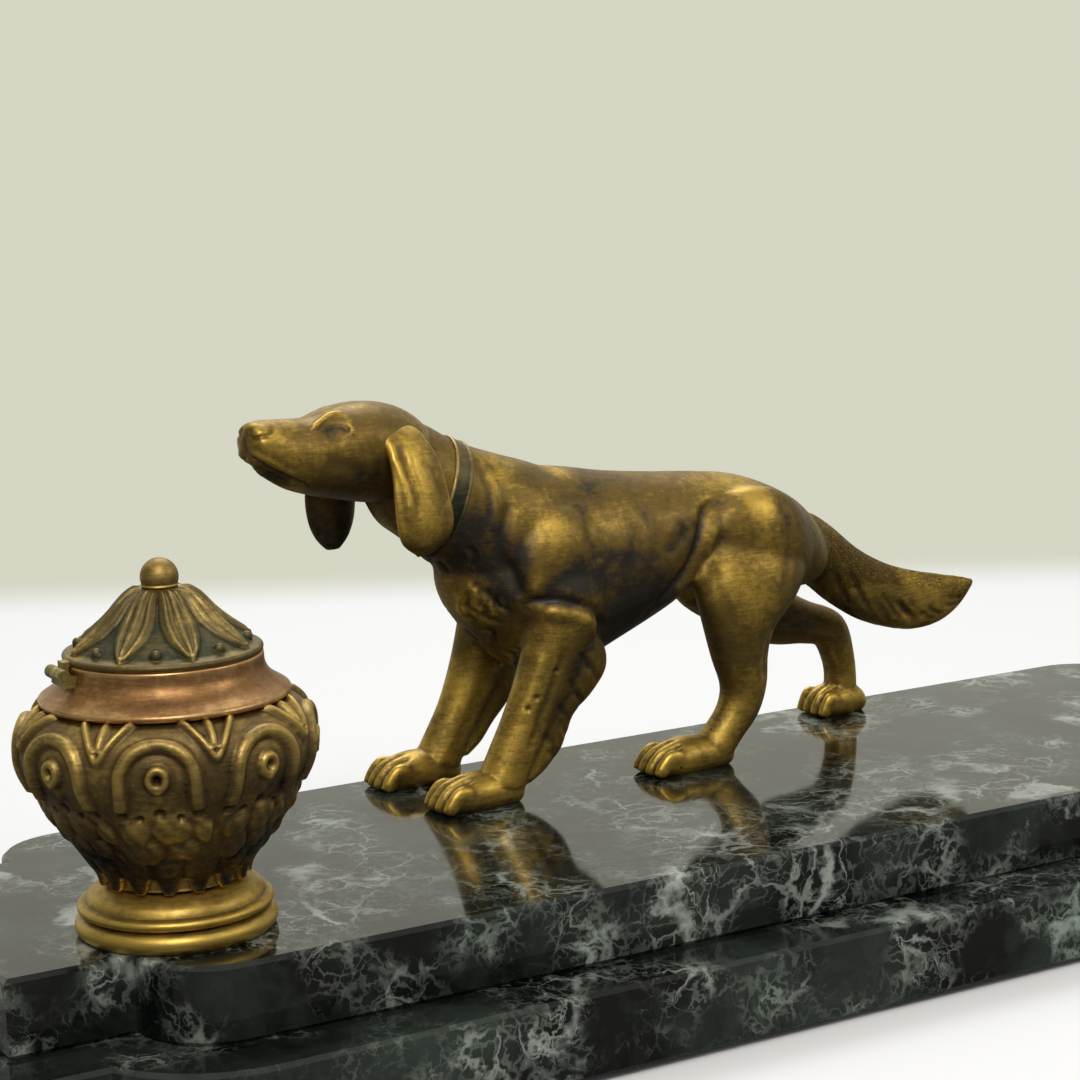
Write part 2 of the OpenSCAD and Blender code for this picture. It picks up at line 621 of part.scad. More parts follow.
module dog_hindleg_near() {
    y = -leg_spread;
    color([0.66, 0.48, 0.18]) at_dog() difference() {
        cast() difference() {
            union() {
                skin([[21, y + 3, 55, 14, 6, -90, 0], [20.5, y + 1, 47, 16.4, 6.8, -90, 0],
                    [19, y, 40, 14.2, 6.8, -90, 0], [16.6, y, 33, 9.8, 6.4, -90, 0],
                    [16.6, y, 26, 7.6, 5.4, -86, 0], [17.4, y, 19, 6.2, 5, -92, 0],
                    [16.4, y, 13, 6, 4.8, -108, 0], [13, y, 8, 5.6, 4.8, -116, 0],
                    [8, y, 3.4, 5.6, 5.4, -120, 0]], 2, 10);
                paw(paw_spots[2][0], y, 26);
            }
            torso_form();
        }
        paw_hole(2);
    }
}

module dog_hindleg_far() {
    y = leg_spread;
    color([0.6, 0.43, 0.16]) at_dog() difference() {
        cast() difference() {
            union() {
                skin([[22, y - 3, 53, 13, 6, -76, 0], [28, y - 1, 44, 14.5, 6.8, -62, 0],
                    [37, y, 35.6, 11, 6.4, -46, 0], [47, y, 28.6, 8, 5.8, -28, 0],
                    [57, y, 25.6, 5.8, 4.8, -12, 0], [64.4, y, 22.6, 5.4, 4.6, -48, 0],
                    [67.4, y, 15, 4.6, 4.4, -84, 0], [68.2, y, 8.6, 4.4, 4.4, -92, 0],
                    [67.4, y, 3.4, 5, 4.8, -100, 0]], 2, 10);
                paw(paw_spots[3][0], y, 18);
            }
            torso_form();
        }
        paw_hole(3);
    }
}

lower_slab();
upper_slab();
felt_pad(0);  // felt_pad_1
felt_pad(1);  // felt_pad_2
felt_pad(2);  // felt_pad_3
felt_pad(3);  // felt_pad_4
urn_foot();
urn_body();
urn_collar();
hinge_collar_leaf();
hinge_pin();
ink_liner();
urn_lid();
urn_finial();
hinge_lid_leaf();
urn_stud();
urn_washer();
urn_nut();
dog_body();
dog_ear(-1);  // dog_ear_near
dog_ear(1);  // dog_ear_far
dog_collar();
dog_tail();
dog_foreleg_near();
dog_foreleg_far();
dog_hindleg_near();
dog_hindleg_far();
paw_studs();
paw_washers();
paw_nuts();
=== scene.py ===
# A desk inkstand: a bronze setter and a lidded bronze urn on a two-step base of veined marble.
import math
import bpy
import numpy as np
from mathutils import Matrix, Vector
from mathutils.bvhtree import BVHTree
from mathutils.kdtree import KDTree


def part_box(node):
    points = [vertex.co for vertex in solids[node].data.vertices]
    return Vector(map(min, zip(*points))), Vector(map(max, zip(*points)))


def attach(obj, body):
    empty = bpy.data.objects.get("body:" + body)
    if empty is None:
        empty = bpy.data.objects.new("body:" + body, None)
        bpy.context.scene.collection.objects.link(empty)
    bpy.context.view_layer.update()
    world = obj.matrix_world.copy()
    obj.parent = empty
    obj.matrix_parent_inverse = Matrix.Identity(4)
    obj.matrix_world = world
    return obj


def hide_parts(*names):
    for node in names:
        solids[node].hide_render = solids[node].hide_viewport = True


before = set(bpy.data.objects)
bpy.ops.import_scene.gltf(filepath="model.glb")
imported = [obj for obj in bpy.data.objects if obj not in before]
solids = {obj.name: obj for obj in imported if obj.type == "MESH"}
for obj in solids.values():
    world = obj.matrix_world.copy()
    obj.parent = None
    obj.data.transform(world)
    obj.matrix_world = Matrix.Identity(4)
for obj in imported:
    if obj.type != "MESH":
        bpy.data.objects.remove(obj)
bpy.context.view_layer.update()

# ---- Camera ----
# The camera looks along the base from its front left, a little above the slab, as the
# photographer's did, with a long lens and a slight lean.
heading, tilt, lean = (math.radians(a) for a in (30.07, 9.076, 1.612))
ahead = Vector((math.sin(heading) * math.cos(tilt), math.cos(heading) * math.cos(tilt), -math.sin(tilt)))
level = Vector((math.cos(heading), -math.sin(heading), 0))
upright = level.cross(ahead)
rightward = level * math.cos(lean) - upright * math.sin(lean)
upward = level * math.sin(lean) + upright * math.cos(lean)
lens = bpy.data.cameras.new("photo_camera")
lens.sensor_width = 36
lens.lens = 82.6
lens.clip_start = 0.01
camera = bpy.data.objects.new("photo_camera", lens)
bpy.context.scene.collection.objects.link(camera)
camera.matrix_world = Matrix.Translation((-0.3273, -0.479, 0.18855)) @ Matrix(
    (rightward, upward, -ahead)).transposed().to_4x4()
bpy.context.scene.camera = camera
bpy.context.scene.view_settings.view_transform = "Standard"

# ---- Table and light ----
# A pale table top that fades into a beige room, one large soft lamp over the left front, a
# weaker one at the right and one behind, and a soft light from all round. In reflections the
# table top is painted dark instead, as painted shade on the undersides of the metal.
wall_colour = (0.665, 0.67, 0.55, 1)


def add_node(tree, kind, sockets=None, **settings):
    made = tree.nodes.new("ShaderNode" + kind)
    for key, value in settings.items():
        setattr(made, key, value)
    for key, value in (sockets or {}).items():
        if isinstance(value, bpy.types.NodeSocket):
            tree.links.new(value, made.inputs[key])
        else:
            made.inputs[key].default_value = value
    return made


def math_node(tree, way, first, second):
    return add_node(tree, "Math", {0: first, 1: second}, operation=way).outputs[0]


def vector_node(tree, way, sockets, output=0):
    return add_node(tree, "VectorMath", sockets, operation=way).outputs[output]


def ranged(tree, value, low, high, to_low=0, to_high=1, way="LINEAR"):
    """A value between low and high, carried over to the same place in another range."""
    return add_node(tree, "MapRange", {"Value": value, "From Min": low, "From Max": high, "To Min": to_low,
                                       "To Max": to_high}, interpolation_type=way).outputs[0]


def eased(tree, value, low, high, to_low=0, to_high=1):
    return ranged(tree, value, low, high, to_low, to_high, "SMOOTHSTEP")


def mixed(tree, share, first, second):
    return add_node(tree, "Mix", {0: share, 6: first, 7: second}, data_type="RGBA").outputs[2]


def noise(tree, spot, scale, detail, output="Fac", **more):
    return add_node(tree, "TexNoise", {"Vector": spot, "Scale": scale, "Detail": detail, **more}).outputs[output]


def new_material(name):
    made = bpy.data.materials.new(name)
    made.use_nodes = True
    made.node_tree.nodes.clear()
    return made, made.node_tree


def own_place(tree):
    return add_node(tree, "TexCoord").outputs["Object"]


def bumped(tree, height, strength, reach):
    return add_node(tree, "Bump", {"Height": height, "Strength": strength, "Distance": reach}).outputs[0]


def skin(tree, **sockets):
    """The skin that ends a material. Spaces in a socket's name are written as underscores."""
    made = add_node(tree, "BsdfPrincipled", {key.replace("_", " "): value for key, value in sockets.items()})
    add_node(tree, "OutputMaterial", {"Surface": made.outputs[0]})


room = bpy.data.worlds.new("room")
bpy.context.scene.world = room
room.use_nodes = True
tree = room.node_tree
tree.nodes.clear()
ray = add_node(tree, "LightPath")
seen = math_node(tree, "MAXIMUM", ray.outputs["Is Camera Ray"], ray.outputs["Is Transmission Ray"])
toward = add_node(tree, "TexCoord").outputs["Generated"]
behind = vector_node(tree, "DOT_PRODUCT", {0: toward, 1: (0.5, 0.866, 0)}, "Value")
upward_share = add_node(tree, "SeparateXYZ", {0: toward}).outputs["Z"]
glow = math_node(tree, "ADD", eased(tree, behind, 0.1, 0.75, 0.27, 0.7), eased(tree, upward_share, 0.35, 0.95, 0, 0.3))
mirrored = add_node(tree, "Background", {"Color": (1, 0.99, 0.84, 1), "Strength": glow})
soft = add_node(tree, "Background", {"Color": (1, 0.99, 0.97, 1), "Strength": 0.55})
wall = add_node(tree, "Background", {"Color": wall_colour, "Strength": 1})
unseen = add_node(tree, "MixShader", {0: ray.outputs["Is Glossy Ray"], 1: soft.outputs[0], 2: mirrored.outputs[0]})
either = add_node(tree, "MixShader", {0: seen, 1: unseen.outputs[0], 2: wall.outputs[0]})
add_node(tree, "OutputWorld", {"Surface": either.outputs[0]})

bpy.ops.object.select_all(action="DESELECT")
bpy.ops.mesh.primitive_circle_add(vertices=128, radius=0.62, fill_type="NGON")
table = bpy.context.object
table.name = "table_top"
table_paint, tree = new_material("table_paint")
place = own_place(tree)
reach = vector_node(tree, "LENGTH", {0: place}, "Value")
depth = vector_node(tree, "DOT_PRODUCT", {0: place, 1: (0.501, 0.8655, 0)}, "Value")
fade = math_node(tree, "MAXIMUM", eased(tree, reach, 0.53, 0.6), eased(tree, depth, 0.43, 0.53))
ray = add_node(tree, "LightPath")
# The table top is white, but dark where a reflection sees it: painted shade in what the metal and stone reflect.
white_or_reflected_shade = mixed(tree, ray.outputs["Is Glossy Ray"], (0.82, 0.825, 0.83, 1), (0.16, 0.16, 0.15, 1))
matte_with_reflected_shade = add_node(tree, "BsdfDiffuse", {"Color": white_or_reflected_shade})
beige = add_node(tree, "Emission", {"Color": wall_colour, "Strength": 1})
surface = add_node(tree, "MixShader", {0: fade, 1: matte_with_reflected_shade.outputs[0], 2: beige.outputs[0]})
add_node(tree, "OutputMaterial", {"Surface": surface.outputs[0]})
table.data.materials.append(table_paint)

for name, spot, size, watts, tint in (
        ("lamp_left", (-0.45, -0.8, 0.95), 0.5, 8, (1, 0.97, 0.9)),
        ("lamp_right", (0.75, -0.75, 0.75), 0.3, 2.2, (1, 0.97, 0.92)),
        ("lamp_behind", (0.2, 0.6, 1.0), 0.7, 5, (0.97, 0.98, 1))):
    lamp = bpy.data.lights.new(name, "AREA")
    lamp.shape = "DISK"
    lamp.size = size
    lamp.energy = watts
    lamp.color = tint
    holder = bpy.data.objects.new(name, lamp)
    bpy.context.scene.collection.objects.link(holder)
    holder.location = spot
    holder.rotation_euler = (Vector((0, 0, 0.05)) - Vector(spot)).to_track_quat("-Z", "Y").to_euler()

# ---- Marble base ----
# Two slabs of near-black green marble, sawn, stepped and polished like glass, with a thin
# bevel along each edge. Broken white and pale green veins run through both.


def marble(name, shift):
    stone, tree = new_material(name)
    spot = add_node(tree, "Mapping", {"Vector": own_place(tree), "Location": shift,
                                      "Rotation": (0.5, 0.3, 0.7)}).outputs[0]
    sway = noise(tree, spot, 55, 5, "Color", Roughness=0.6)
    push = vector_node(tree, "ADD", {0: sway, 1: (-0.5, -0.5, -0.5)})
    bent = vector_node(tree, "ADD", {0: spot, 1: vector_node(tree, "SCALE", {0: push, "Scale": 0.022})})
    cloud = noise(tree, bent, 30, 6, Roughness=0.62)
    ground = add_node(tree, "ValToRGB", {0: cloud})
    ends = ground.color_ramp.elements
    ends[0].position, ends[0].color = 0.42, (0.0022, 0.003, 0.0026, 1)
    ends[1].position, ends[1].color = 0.75, (0.03, 0.04, 0.033, 1)
    colour = ground.outputs[0]
    breaks = noise(tree, spot, 46, 4)
    pale = mixed(tree, noise(tree, spot, 18, 2), (0.16, 0.24, 0.19, 1), (0.6, 0.61, 0.56, 1))
    # Three sizes of crack, each with its thickness, where it breaks off and how white it is.
    for cell, thick, low, strength in ((260, 0.09, 0.4, 0.16), (105, 0.05, 0.45, 0.4), (26, 0.03, 0.5, 0.65)):
        crack = add_node(tree, "TexVoronoi", {"Vector": bent, "Scale": cell}, feature="DISTANCE_TO_EDGE")
        wide = ranged(tree, noise(tree, spot, cell * 0.9, 3), 0.4, 0.7, thick * 0.3, thick * 3)
        line = eased(tree, crack.outputs["Distance"], 0, wide, 1, 0)
        here = eased(tree, breaks, low, low + 0.16)
        share = math_node(tree, "MULTIPLY", math_node(tree, "MULTIPLY", line, here), strength)
        colour = mixed(tree, share, colour, pale)
    patch = noise(tree, bent, 17, 8, Roughness=0.6, Distortion=0.6)
    share = math_node(tree, "MULTIPLY", eased(tree, patch, 0.62, 0.68), ranged(tree, cloud, 0.35, 0.6, 0.25, 0.85))
    colour = mixed(tree, share, colour, (0.46, 0.5, 0.45, 1))
    gloss = ranged(tree, noise(tree, spot, 90, 4), 0.3, 0.7, 0.04, 0.11)
    skin(tree, Base_Color=colour, Roughness=gloss, IOR=1.5)
    return stone


for name, shift in (("lower_slab", (0.11, 0.02, 0.3)), ("upper_slab", (0.0, 0.0, 0.0))):
    solids[name].material_slots[0].material = marble(name + "_marble", shift)

# ---- Felt pads ----
# Four round pads of green wool felt, glued under the lower slab so that it doesn't scratch
# the desk.
felt, tree = new_material("green_felt")
wool = noise(tree, own_place(tree), 1400, 6, Roughness=0.8)
dye = add_node(tree, "ValToRGB", {0: wool})
dye.color_ramp.elements[0].color = (0.02, 0.05, 0.03, 1)
dye.color_ramp.elements[1].color = (0.07, 0.14, 0.08, 1)
skin(tree, Base_Color=dye.outputs[0], Roughness=0.95, Sheen_Weight=0.4, Normal=bumped(tree, wool, 0.6, 0.0004))
for number in (1, 2, 3, 4):
    solids[f"felt_pad_{number}"].material_slots[0].material = felt

# ---- Bronze finish ----
# All the metal is cast bronze with one kind of finish: dark patina in the hollows, brown on
# the open faces, and a rubbed golden tone on what stands proud, with fine pits and scratches.
patina = bpy.data.node_groups.new("bronze_patina", "ShaderNodeTree")
for way, kind, names in (("INPUT", "Color", ("Dark", "Brown", "Gold")), ("INPUT", "Float", ("RubAndLight", "Relief", "Grain")),
                         ("OUTPUT", "Color", ("Colour",)), ("OUTPUT", "Float", ("Roughness", "Height"))):
    for name in names:
        patina.interface.new_socket(name, in_out=way, socket_type="NodeSocket" + kind)
given = patina.nodes.new("NodeGroupInput").outputs
place = own_place(patina)
broad = noise(patina, place, 95, 5, Roughness=0.62)
fine = noise(patina, place, 620, 6, Roughness=0.7)
stretch = add_node(patina, "Mapping", {"Vector": place, "Scale": (260, 260, 2600), "Rotation": (0.1, 0.25, 0)})
scratch = noise(patina, stretch.outputs[0], 1, 4, Roughness=0.7)
pits = add_node(patina, "TexVoronoi", {"Vector": place, "Scale": 210}, feature="F1").outputs["Distance"]
pitted = math_node(patina, "MULTIPLY", eased(patina, pits, 0.04, 0.1, 1, 0), ranged(patina, broad, 0.57, 0.62))
# How golden a place is: as far as it is rubbed, together with the painted highlights and shade
# that its rub input carries on some pieces, and as far as it stands proud, with blotches, specks
# and brush marks, and dark in the pits.
level = given["RubAndLight"]
for value, low, high, reach in ((given["Relief"], 0, 1, 0.6), (broad, 0.3, 0.7, 0.2), (fine, 0.3, 0.7, 0.13),
                                (scratch, 0.35, 0.65, 0.09)):
    level = math_node(patina, "ADD", level, ranged(patina, value, low, high, -reach, reach))
level = math_node(patina, "SUBTRACT", level, pitted)
browned = mixed(patina, eased(patina, level, -0.05, 0.42), given["Dark"], given["Brown"])
gilded = mixed(patina, eased(patina, level, 0.38, 0.95), browned, given["Gold"])
dull = math_node(patina, "ADD", ranged(patina, level, 0, 1, 0.62, 0.42), ranged(patina, scratch, 0.3, 0.7, -0.06, 0.08))
bumps = math_node(patina, "ADD", math_node(patina, "MULTIPLY", fine, given["Grain"]),
                  math_node(patina, "MULTIPLY", scratch, 0.5))
given_out = patina.nodes.new("NodeGroupOutput")
for name, value in (("Colour", gilded), ("Roughness", dull),
                    ("Height", math_node(patina, "SUBTRACT", bumps, pitted))):
    patina.links.new(value, given_out.inputs[name])


def bronze(name, dark, brown, gold, rub_and_light=None, relief=None, grain=1.0, dulling=1.0):
    """A bronze in three tones. Where no rub or relief is given, the piece's own is read; on some pieces the rub holds
    painted light and shade too.
    """
    metal, tree = new_material(name)
    finish = tree.nodes.new("ShaderNodeGroup")
    finish.node_tree = patina
    for key, value in (("Dark", dark), ("Brown", brown), ("Gold", gold)):
        finish.inputs[key].default_value = (*value, 1)
    finish.inputs["Grain"].default_value = grain
    for key, value in (("Relief", relief), ("RubAndLight", rub_and_light)):
        if value is None:
            stored = add_node(tree, "Attribute", attribute_name=key)
            tree.links.new(stored.outputs["Fac"], finish.inputs[key])
        else:
            finish.inputs[key].default_value = value
    skin(tree, Base_Color=finish.outputs["Colour"], Metallic=1.0, Coat_Weight=0.22, Coat_Roughness=0.38,
         Roughness=math_node(tree, "MULTIPLY", finish.outputs["Roughness"], dulling),
         Normal=bumped(tree, finish.outputs["Height"], 0.5, 0.00012))
    return metal


def read(items, key, width, kind=np.float32):
    """One value, or one row of values, for each point, edge, face or corner of a mesh."""
    values = np.empty(len(items) * width, kind)
    items.foreach_get(key, values)
    return values.reshape(-1, width) if width > 1 else values


def mesh_arrays(piece):
    mesh = piece.data
    return (read(mesh.vertices, "co", 3).astype(float), read(mesh.vertices, "normal", 3).astype(float),
            read(mesh.edges, "vertices", 2, np.int32))


def relaxed(spots, edges, times):
    """The points after each has moved to the middle of its neighbours a number of times."""
    ends = np.concatenate([edges[:, 0], edges[:, 1]])
    others = np.concatenate([edges[:, 1], edges[:, 0]])
    count = np.maximum(np.bincount(ends, minlength=len(spots)), 1)
    for _ in range(times):
        middle = np.stack([np.bincount(ends, spots[others, k], minlength=len(spots)) / count
                           for k in range(spots.shape[1])], 1)
        spots = spots + 0.5 * (middle - spots)
    return spots


def new_piece(name, spots, faces):
    mesh = bpy.data.meshes.new(name)
    mesh.from_pydata(np.array(spots, float).tolist(), [], faces)
    piece = bpy.data.objects.new(name, mesh)
    bpy.context.scene.collection.objects.link(piece)
    return piece


def smooth(piece):
    piece.data.polygons.foreach_set("use_smooth", [True] * len(piece.data.polygons))


def select_only(piece):
    bpy.ops.object.select_all(action="DESELECT")
    bpy.context.view_layer.objects.active = piece
    piece.select_set(True)


def modified(piece, kind, **settings):
    """Gives the piece one modifier and applies it."""
    select_only(piece)
    added = piece.modifiers.new("work", kind)
    for key, value in settings.items():
        setattr(added, key, value)
    bpy.ops.object.modifier_apply(modifier=added.name)
    return piece


def write_value(piece, name, values):
    store = piece.data.attributes.get(name) or piece.data.attributes.new(name, "FLOAT", "POINT")
    store.data.foreach_set("value", np.clip(values, 0, 1).astype(np.float32))


def note_relief(piece, reach, depth):
    """Stores how far each point stands proud of, or lies below, its smoothed surroundings."""
    spots, normals, edges = mesh_arrays(piece)
    proud_by = ((spots - relaxed(spots, edges, reach)) * normals).sum(1)
    proud_by = relaxed(proud_by[:, None], edges, 2)[:, 0]
    write_value(piece, "Relief", 0.5 + 0.5 * proud_by / depth)


# ---- Fixings ----
# Brass studs run down through both slabs from the urn and from each paw. Each is held by a
# washer and a hexagon nut in a sink under the base.
fixing_brass = bronze("fixing_brass", (0.1, 0.07, 0.03), (0.32, 0.22, 0.09), (0.62, 0.46, 0.2), rub_and_light=0.55,
                      relief=0.5)
for name in ("urn_stud", "urn_washer", "urn_nut", "paw_studs", "paw_washers", "paw_nuts"):
    solids[name].material_slots[0].material = fixing_brass

# ---- Urn foot ----
# The foot is turned from a casting: two rolled mouldings under a bell, gilt and well rubbed.
low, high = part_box("urn_foot")
urn_x, urn_y = (low.x + high.x) / 2, (low.y + high.y) / 2
top_z = low.z
mm = 0.001


def curve_through(points, steps):
    """A smooth line through the points, with that many steps between each two."""
    points = np.array(points, float)
    line = []
    for i in range(len(points) - 1):
        a, b = points[max(i - 1, 0)], points[i]
        c, d = points[i + 1], points[min(i + 2, len(points) - 1)]
        for k in range(steps):
            t = k / steps
            line.append(b + 0.5 * t * (c - a + t * (2 * a - 5 * b + 4 * c - d + t * (3 * (b - c) + d - a))))
    line.append(points[-1])
    return np.array(line)


def turned_piece(name, outline, sides=128, crease=40):
    """A lathe piece: one point is drawn out along the outline, in mm, and spun round the axis."""
    bpy.ops.object.select_all(action="DESELECT")
    bpy.ops.mesh.primitive_plane_add(size=0.002)
    piece = bpy.context.object
    piece.name = name
    bpy.ops.object.mode_set(mode="EDIT")
    bpy.ops.mesh.merge(type="CENTER")
    bpy.ops.transform.translate(value=(outline[0][0] * mm, 0, outline[0][1] * mm))
    for here, there in zip(outline, outline[1:]):
        bpy.ops.mesh.extrude_region_move(TRANSFORM_OT_translate={
            "value": ((there[0] - here[0]) * mm, 0, (there[1] - here[1]) * mm)})
    bpy.ops.mesh.select_all(action="SELECT")
    bpy.ops.mesh.spin(steps=sides, angle=2 * math.pi, center=(0, 0, 0), axis=(0, 0, 1))
    bpy.ops.mesh.select_all(action="SELECT")
    bpy.ops.mesh.remove_doubles(threshold=0.000004)
    bpy.ops.mesh.normals_make_consistent(inside=False)
    bpy.ops.transform.translate(value=(urn_x, urn_y, top_z))
    bpy.ops.object.mode_set(mode="OBJECT")
    bpy.ops.object.shade_smooth_by_angle(angle=math.radians(crease))
    return piece


def roll(out_to, level, out_by, up_by, degrees):
    """The points of a rolled moulding: its middle, its half sizes and the angles that it spans."""
    return [(out_to + out_by * math.cos(a), level + up_by * math.sin(a)) for a in np.radians(degrees)]


bell = curve_through([(17.9, 7.4), (17.3, 8.5), (16.2, 9.4), (15.2, 10), (14, 10.6), (12.8, 11.1)], 3)
foot_line = [(13, 0), (18.6, 0), *roll(18.1, 2.15, 2.15, 2.1, range(-75, 76, 15)), (18.2, 4.5),
             *roll(18.1, 5.8, 1.5, 1.15, range(-70, 71, 20)), (18.0, 7.1), (17.9, 7.4), *bell,
             (2.2, 11.1), (2.2, 5.6), (13, 5.6), (13, 0)]
urn_foot = turned_piece("urn_foot_turned", foot_line)
note_relief(urn_foot, 14, 0.0005)
gilt = bronze("gilt_bronze", (0.05, 0.032, 0.012), (0.25, 0.16, 0.04), (0.55, 0.37, 0.08), rub_and_light=0.58)
urn_foot.data.materials.append(gilt)
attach(urn_foot, "stand")
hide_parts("urn_foot")

# ---- Urn bowl ----
# The bowl is one casting. Eight arches with an eye in each stand round the shoulder, with a
# fan of three blades hanging from the rim between them. Leaves and sixteen lobes run down the
# underside, and the lobes end in fingers over the foot. Relief like this can't be extruded,
# so the wall is a fine net of points that are pushed out by it.
arch_count = 8
arch_turn = math.radians(19)
net_sides = 480


def ramp(value, width):
    """0 below nothing, and 1 from that width on."""
    return np.clip(value / width, 0, 1)


def bump_over(distance, half_width):
    """A rounded ridge: 1 on its middle line, 0 from half a width away."""
    share = np.clip(1 - (distance / half_width) ** 2, 0, 1)
    return share ** 0.75


def arc_of(line):
    """How far along the line each of its points lies."""
    return np.concatenate([[0], np.cumsum(np.linalg.norm(np.diff(line, axis=0), axis=1))])


def net_faces(rows):
    """Four-sided faces from each ring of points to the next. The rows hold the points' numbers."""
    after = np.roll(rows, -1, 1)
    return np.stack([rows[:-1], after[:-1], after[1:], rows[1:]], -1).reshape(-1, 4).tolist()


def relief_shell(name, outer, inner, relief, poles):
    """A cast wall: an outer net pushed out by the relief, and a plain inner one. The net is
    closed by a point on the axis at each end, or its last row meets its first."""
    step = np.gradient(outer, axis=0)
    step /= np.linalg.norm(step, axis=1)[:, None]
    inner = np.array(inner, float)
    turn = 2 * math.pi * np.arange(net_sides) / net_sides
    push = relief(turn[None, :], arc_of(outer)[:, None], outer[:, :1], outer[:, 1:])
    radius = np.concatenate([outer[:, :1] + push * step[:, 1:], np.repeat(inner[:, :1], net_sides, 1)])
    level = np.concatenate([outer[:, 1:] - push * step[:, :1], np.repeat(inner[:, 1:], net_sides, 1)])
    spots = np.stack([radius * np.cos(turn), radius * np.sin(turn), level], -1).reshape(-1, 3)
    at = np.arange(len(spots)).reshape(-1, net_sides)
    faces = net_faces(at if poles else np.vstack([at, at[:1]]))
    if poles:
        first, last = at[0].tolist(), at[-1].tolist()
        faces += [[b, a, len(spots)] for a, b in zip(first, first[1:] + first[:1])]
        faces += [[a, b, len(spots) + 1] for a, b in zip(last, last[1:] + last[:1])]
        spots = np.concatenate([spots, [[0, 0, outer[0, 1]], [0, 0, inner[-1, 1]]]])
    piece = new_piece(name, spots * mm + np.array([urn_x, urn_y, top_z]), faces)
    smooth(piece)
    return piece


def round_the_axis(piece):
    """Each point's height over the slab and distance from the axis in mm, and its direction."""
    x, y, z = (mesh_arrays(piece)[0] - np.array([urn_x, urn_y, top_z])).T
    return z / mm, np.hypot(x, y) / mm, np.arctan2(y, x)


def round_the_urn(turn, radius, shift):
    """The distance in mm, round the urn, from the nearest arch, or from a place between them."""
    pitch = 2 * math.pi / arch_count
    return ((turn - arch_turn - shift * pitch + pitch / 2) % pitch - pitch / 2) * radius


bowl_outer = curve_through([
    (12.6, 12.2), (13.6, 11.2), (14.3, 10.75), (14.7, 11.4), (15, 12.6), (15.7, 14.2), (18.4, 17.9), (21.4, 22),
    (24, 26), (26.2, 30), (27.9, 33), (29, 35.7), (29.35, 38.4), (29, 41.4), (27.9, 43.8), (26.1, 45.7), (24.6, 46.6),
    (22, 46.85)], 11)
arch_height = np.interp(37, bowl_outer[:, 1], arc_of(bowl_outer))


def bowl_relief(turn, along, radius, level):
    up = along - arch_height
    side = np.abs(round_the_urn(turn, radius, 0))
    between = round_the_urn(turn, radius, 0.5)
    rib = 7.3
    ring = np.abs(np.hypot(side, np.maximum(up, 0)) - rib)
    foot = ramp(up + 7, 1.2)
    push = 1.2 * bump_over(ring, 1.5) * foot
    inside = np.clip((rib - 1 - np.hypot(side, np.maximum(up, 0))) / 0.7, 0, 1)
    push -= 0.5 * inside * ramp(up + 8, 3)
    eye = np.hypot(side / 0.85, up - 0.6)
    push += 1.25 * bump_over(np.abs(eye - 1.9), 1.15) - 0.7 * bump_over(eye, 0.95)
    stem = bump_over(side, 1.1) * ramp(-1.2 - up, 1) * ramp(up + 6, 1.5)
    push += 0.55 * stem
    fan = np.clip((up - 2.2) * 0.58, 0, 6)
    in_fan = ramp(up - 2.4, 1.5) * ramp(12.4 - up, 0.6)
    blades = 1.15 * bump_over(np.abs(np.abs(between) - fan + 0.75), 1.05)
    blades = blades + 0.9 * bump_over(between, 1.0) * (up > 5.5)
    push += blades * in_fan
    for away, down, wide in ((7.3, -8.1, 1.25), (0, -7.6, 1.3), (3.8, -8.6, 0.8)):
        push -= 1.2 * bump_over(np.hypot(side - away, up - down), wide)
    across = round_the_urn(turn, radius, 0) + 0.7 * np.sin(turn * 5) * ramp(-7 - up, 4)
    for away, down, wide, tall in (
            (2.2, -11.6, 3.5, 1.1), (-4.4, -12.4, 3, 1), (-2.8, -18, 3.3, 0.9), (3.6, -17.4, 2.7, 0.9),
            (8.2, -12.6, 2.6, 0.8), (0.6, -22.6, 2.2, 0.6)):
        push += tall * bump_over(np.hypot(across - away, (up - down) * 0.9), wide)
    push += 0.12 * np.sin(across * 1.9 + up * 1.3) * ramp(-8.5 - up, 2) * ramp(up + 23, 4)
    share = finger_share(turn)
    lobes = ramp(22 - level, 6) * (0.9 * np.clip(1 - share ** 2, 0, 1) ** 0.7 - 0.3)
    bell = np.clip((finger_tip(share) - level) / 0.5, 0, 1)
    return (push + lobes) * (1 - bell) - 0.75 * bell


def finger_share(turn):
    """0 on the middle of each of the sixteen fingers, and 1 midway between two."""
    return np.abs(((turn - arch_turn) / (math.pi / 8) + 0.5) % 1 - 0.5) * 2


def finger_tip(share):
    """How low the dark fingers reach over the golden bell, in mm above the slab."""
    return 11.3 + 2.9 * ramp(share - 0.28, 0.42) ** 1.5


bowl_inner = [
    (18.1, 46.85), (17.7, 46.6), (17.5, 46), (17.5, 44), (25.3, 43), (25.9, 38), (24.6, 34), (20, 26), (16.4, 21),
    (15.9, 19.6)]
urn_bowl = relief_shell("urn_bowl", bowl_outer, bowl_inner, bowl_relief, True)
note_relief(urn_bowl, 12, 0.0005)
rise, _, around = round_the_axis(urn_bowl)
rubbed = np.interp(rise, [14, 17, 21, 25, 30, 36, 42, 47], [0.0, 0.0, 0.25, 0.5, 0.4, 0.5, 0.56, 0.56])
rubbed = rubbed + 0.12 * np.sin(around * 3 + 1) * (rise < 34)
rubbed = np.where(rise < finger_tip(finger_share(around)), 0.66, rubbed)
write_value(urn_bowl, "RubAndLight", rubbed)
bowl_bronze = bronze("bowl_bronze", (0.022, 0.018, 0.014), (0.17, 0.11, 0.042), (0.52, 0.36, 0.1), grain=1.2)
urn_bowl.data.materials.append(bowl_bronze)
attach(urn_bowl, "stand")
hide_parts("urn_body")

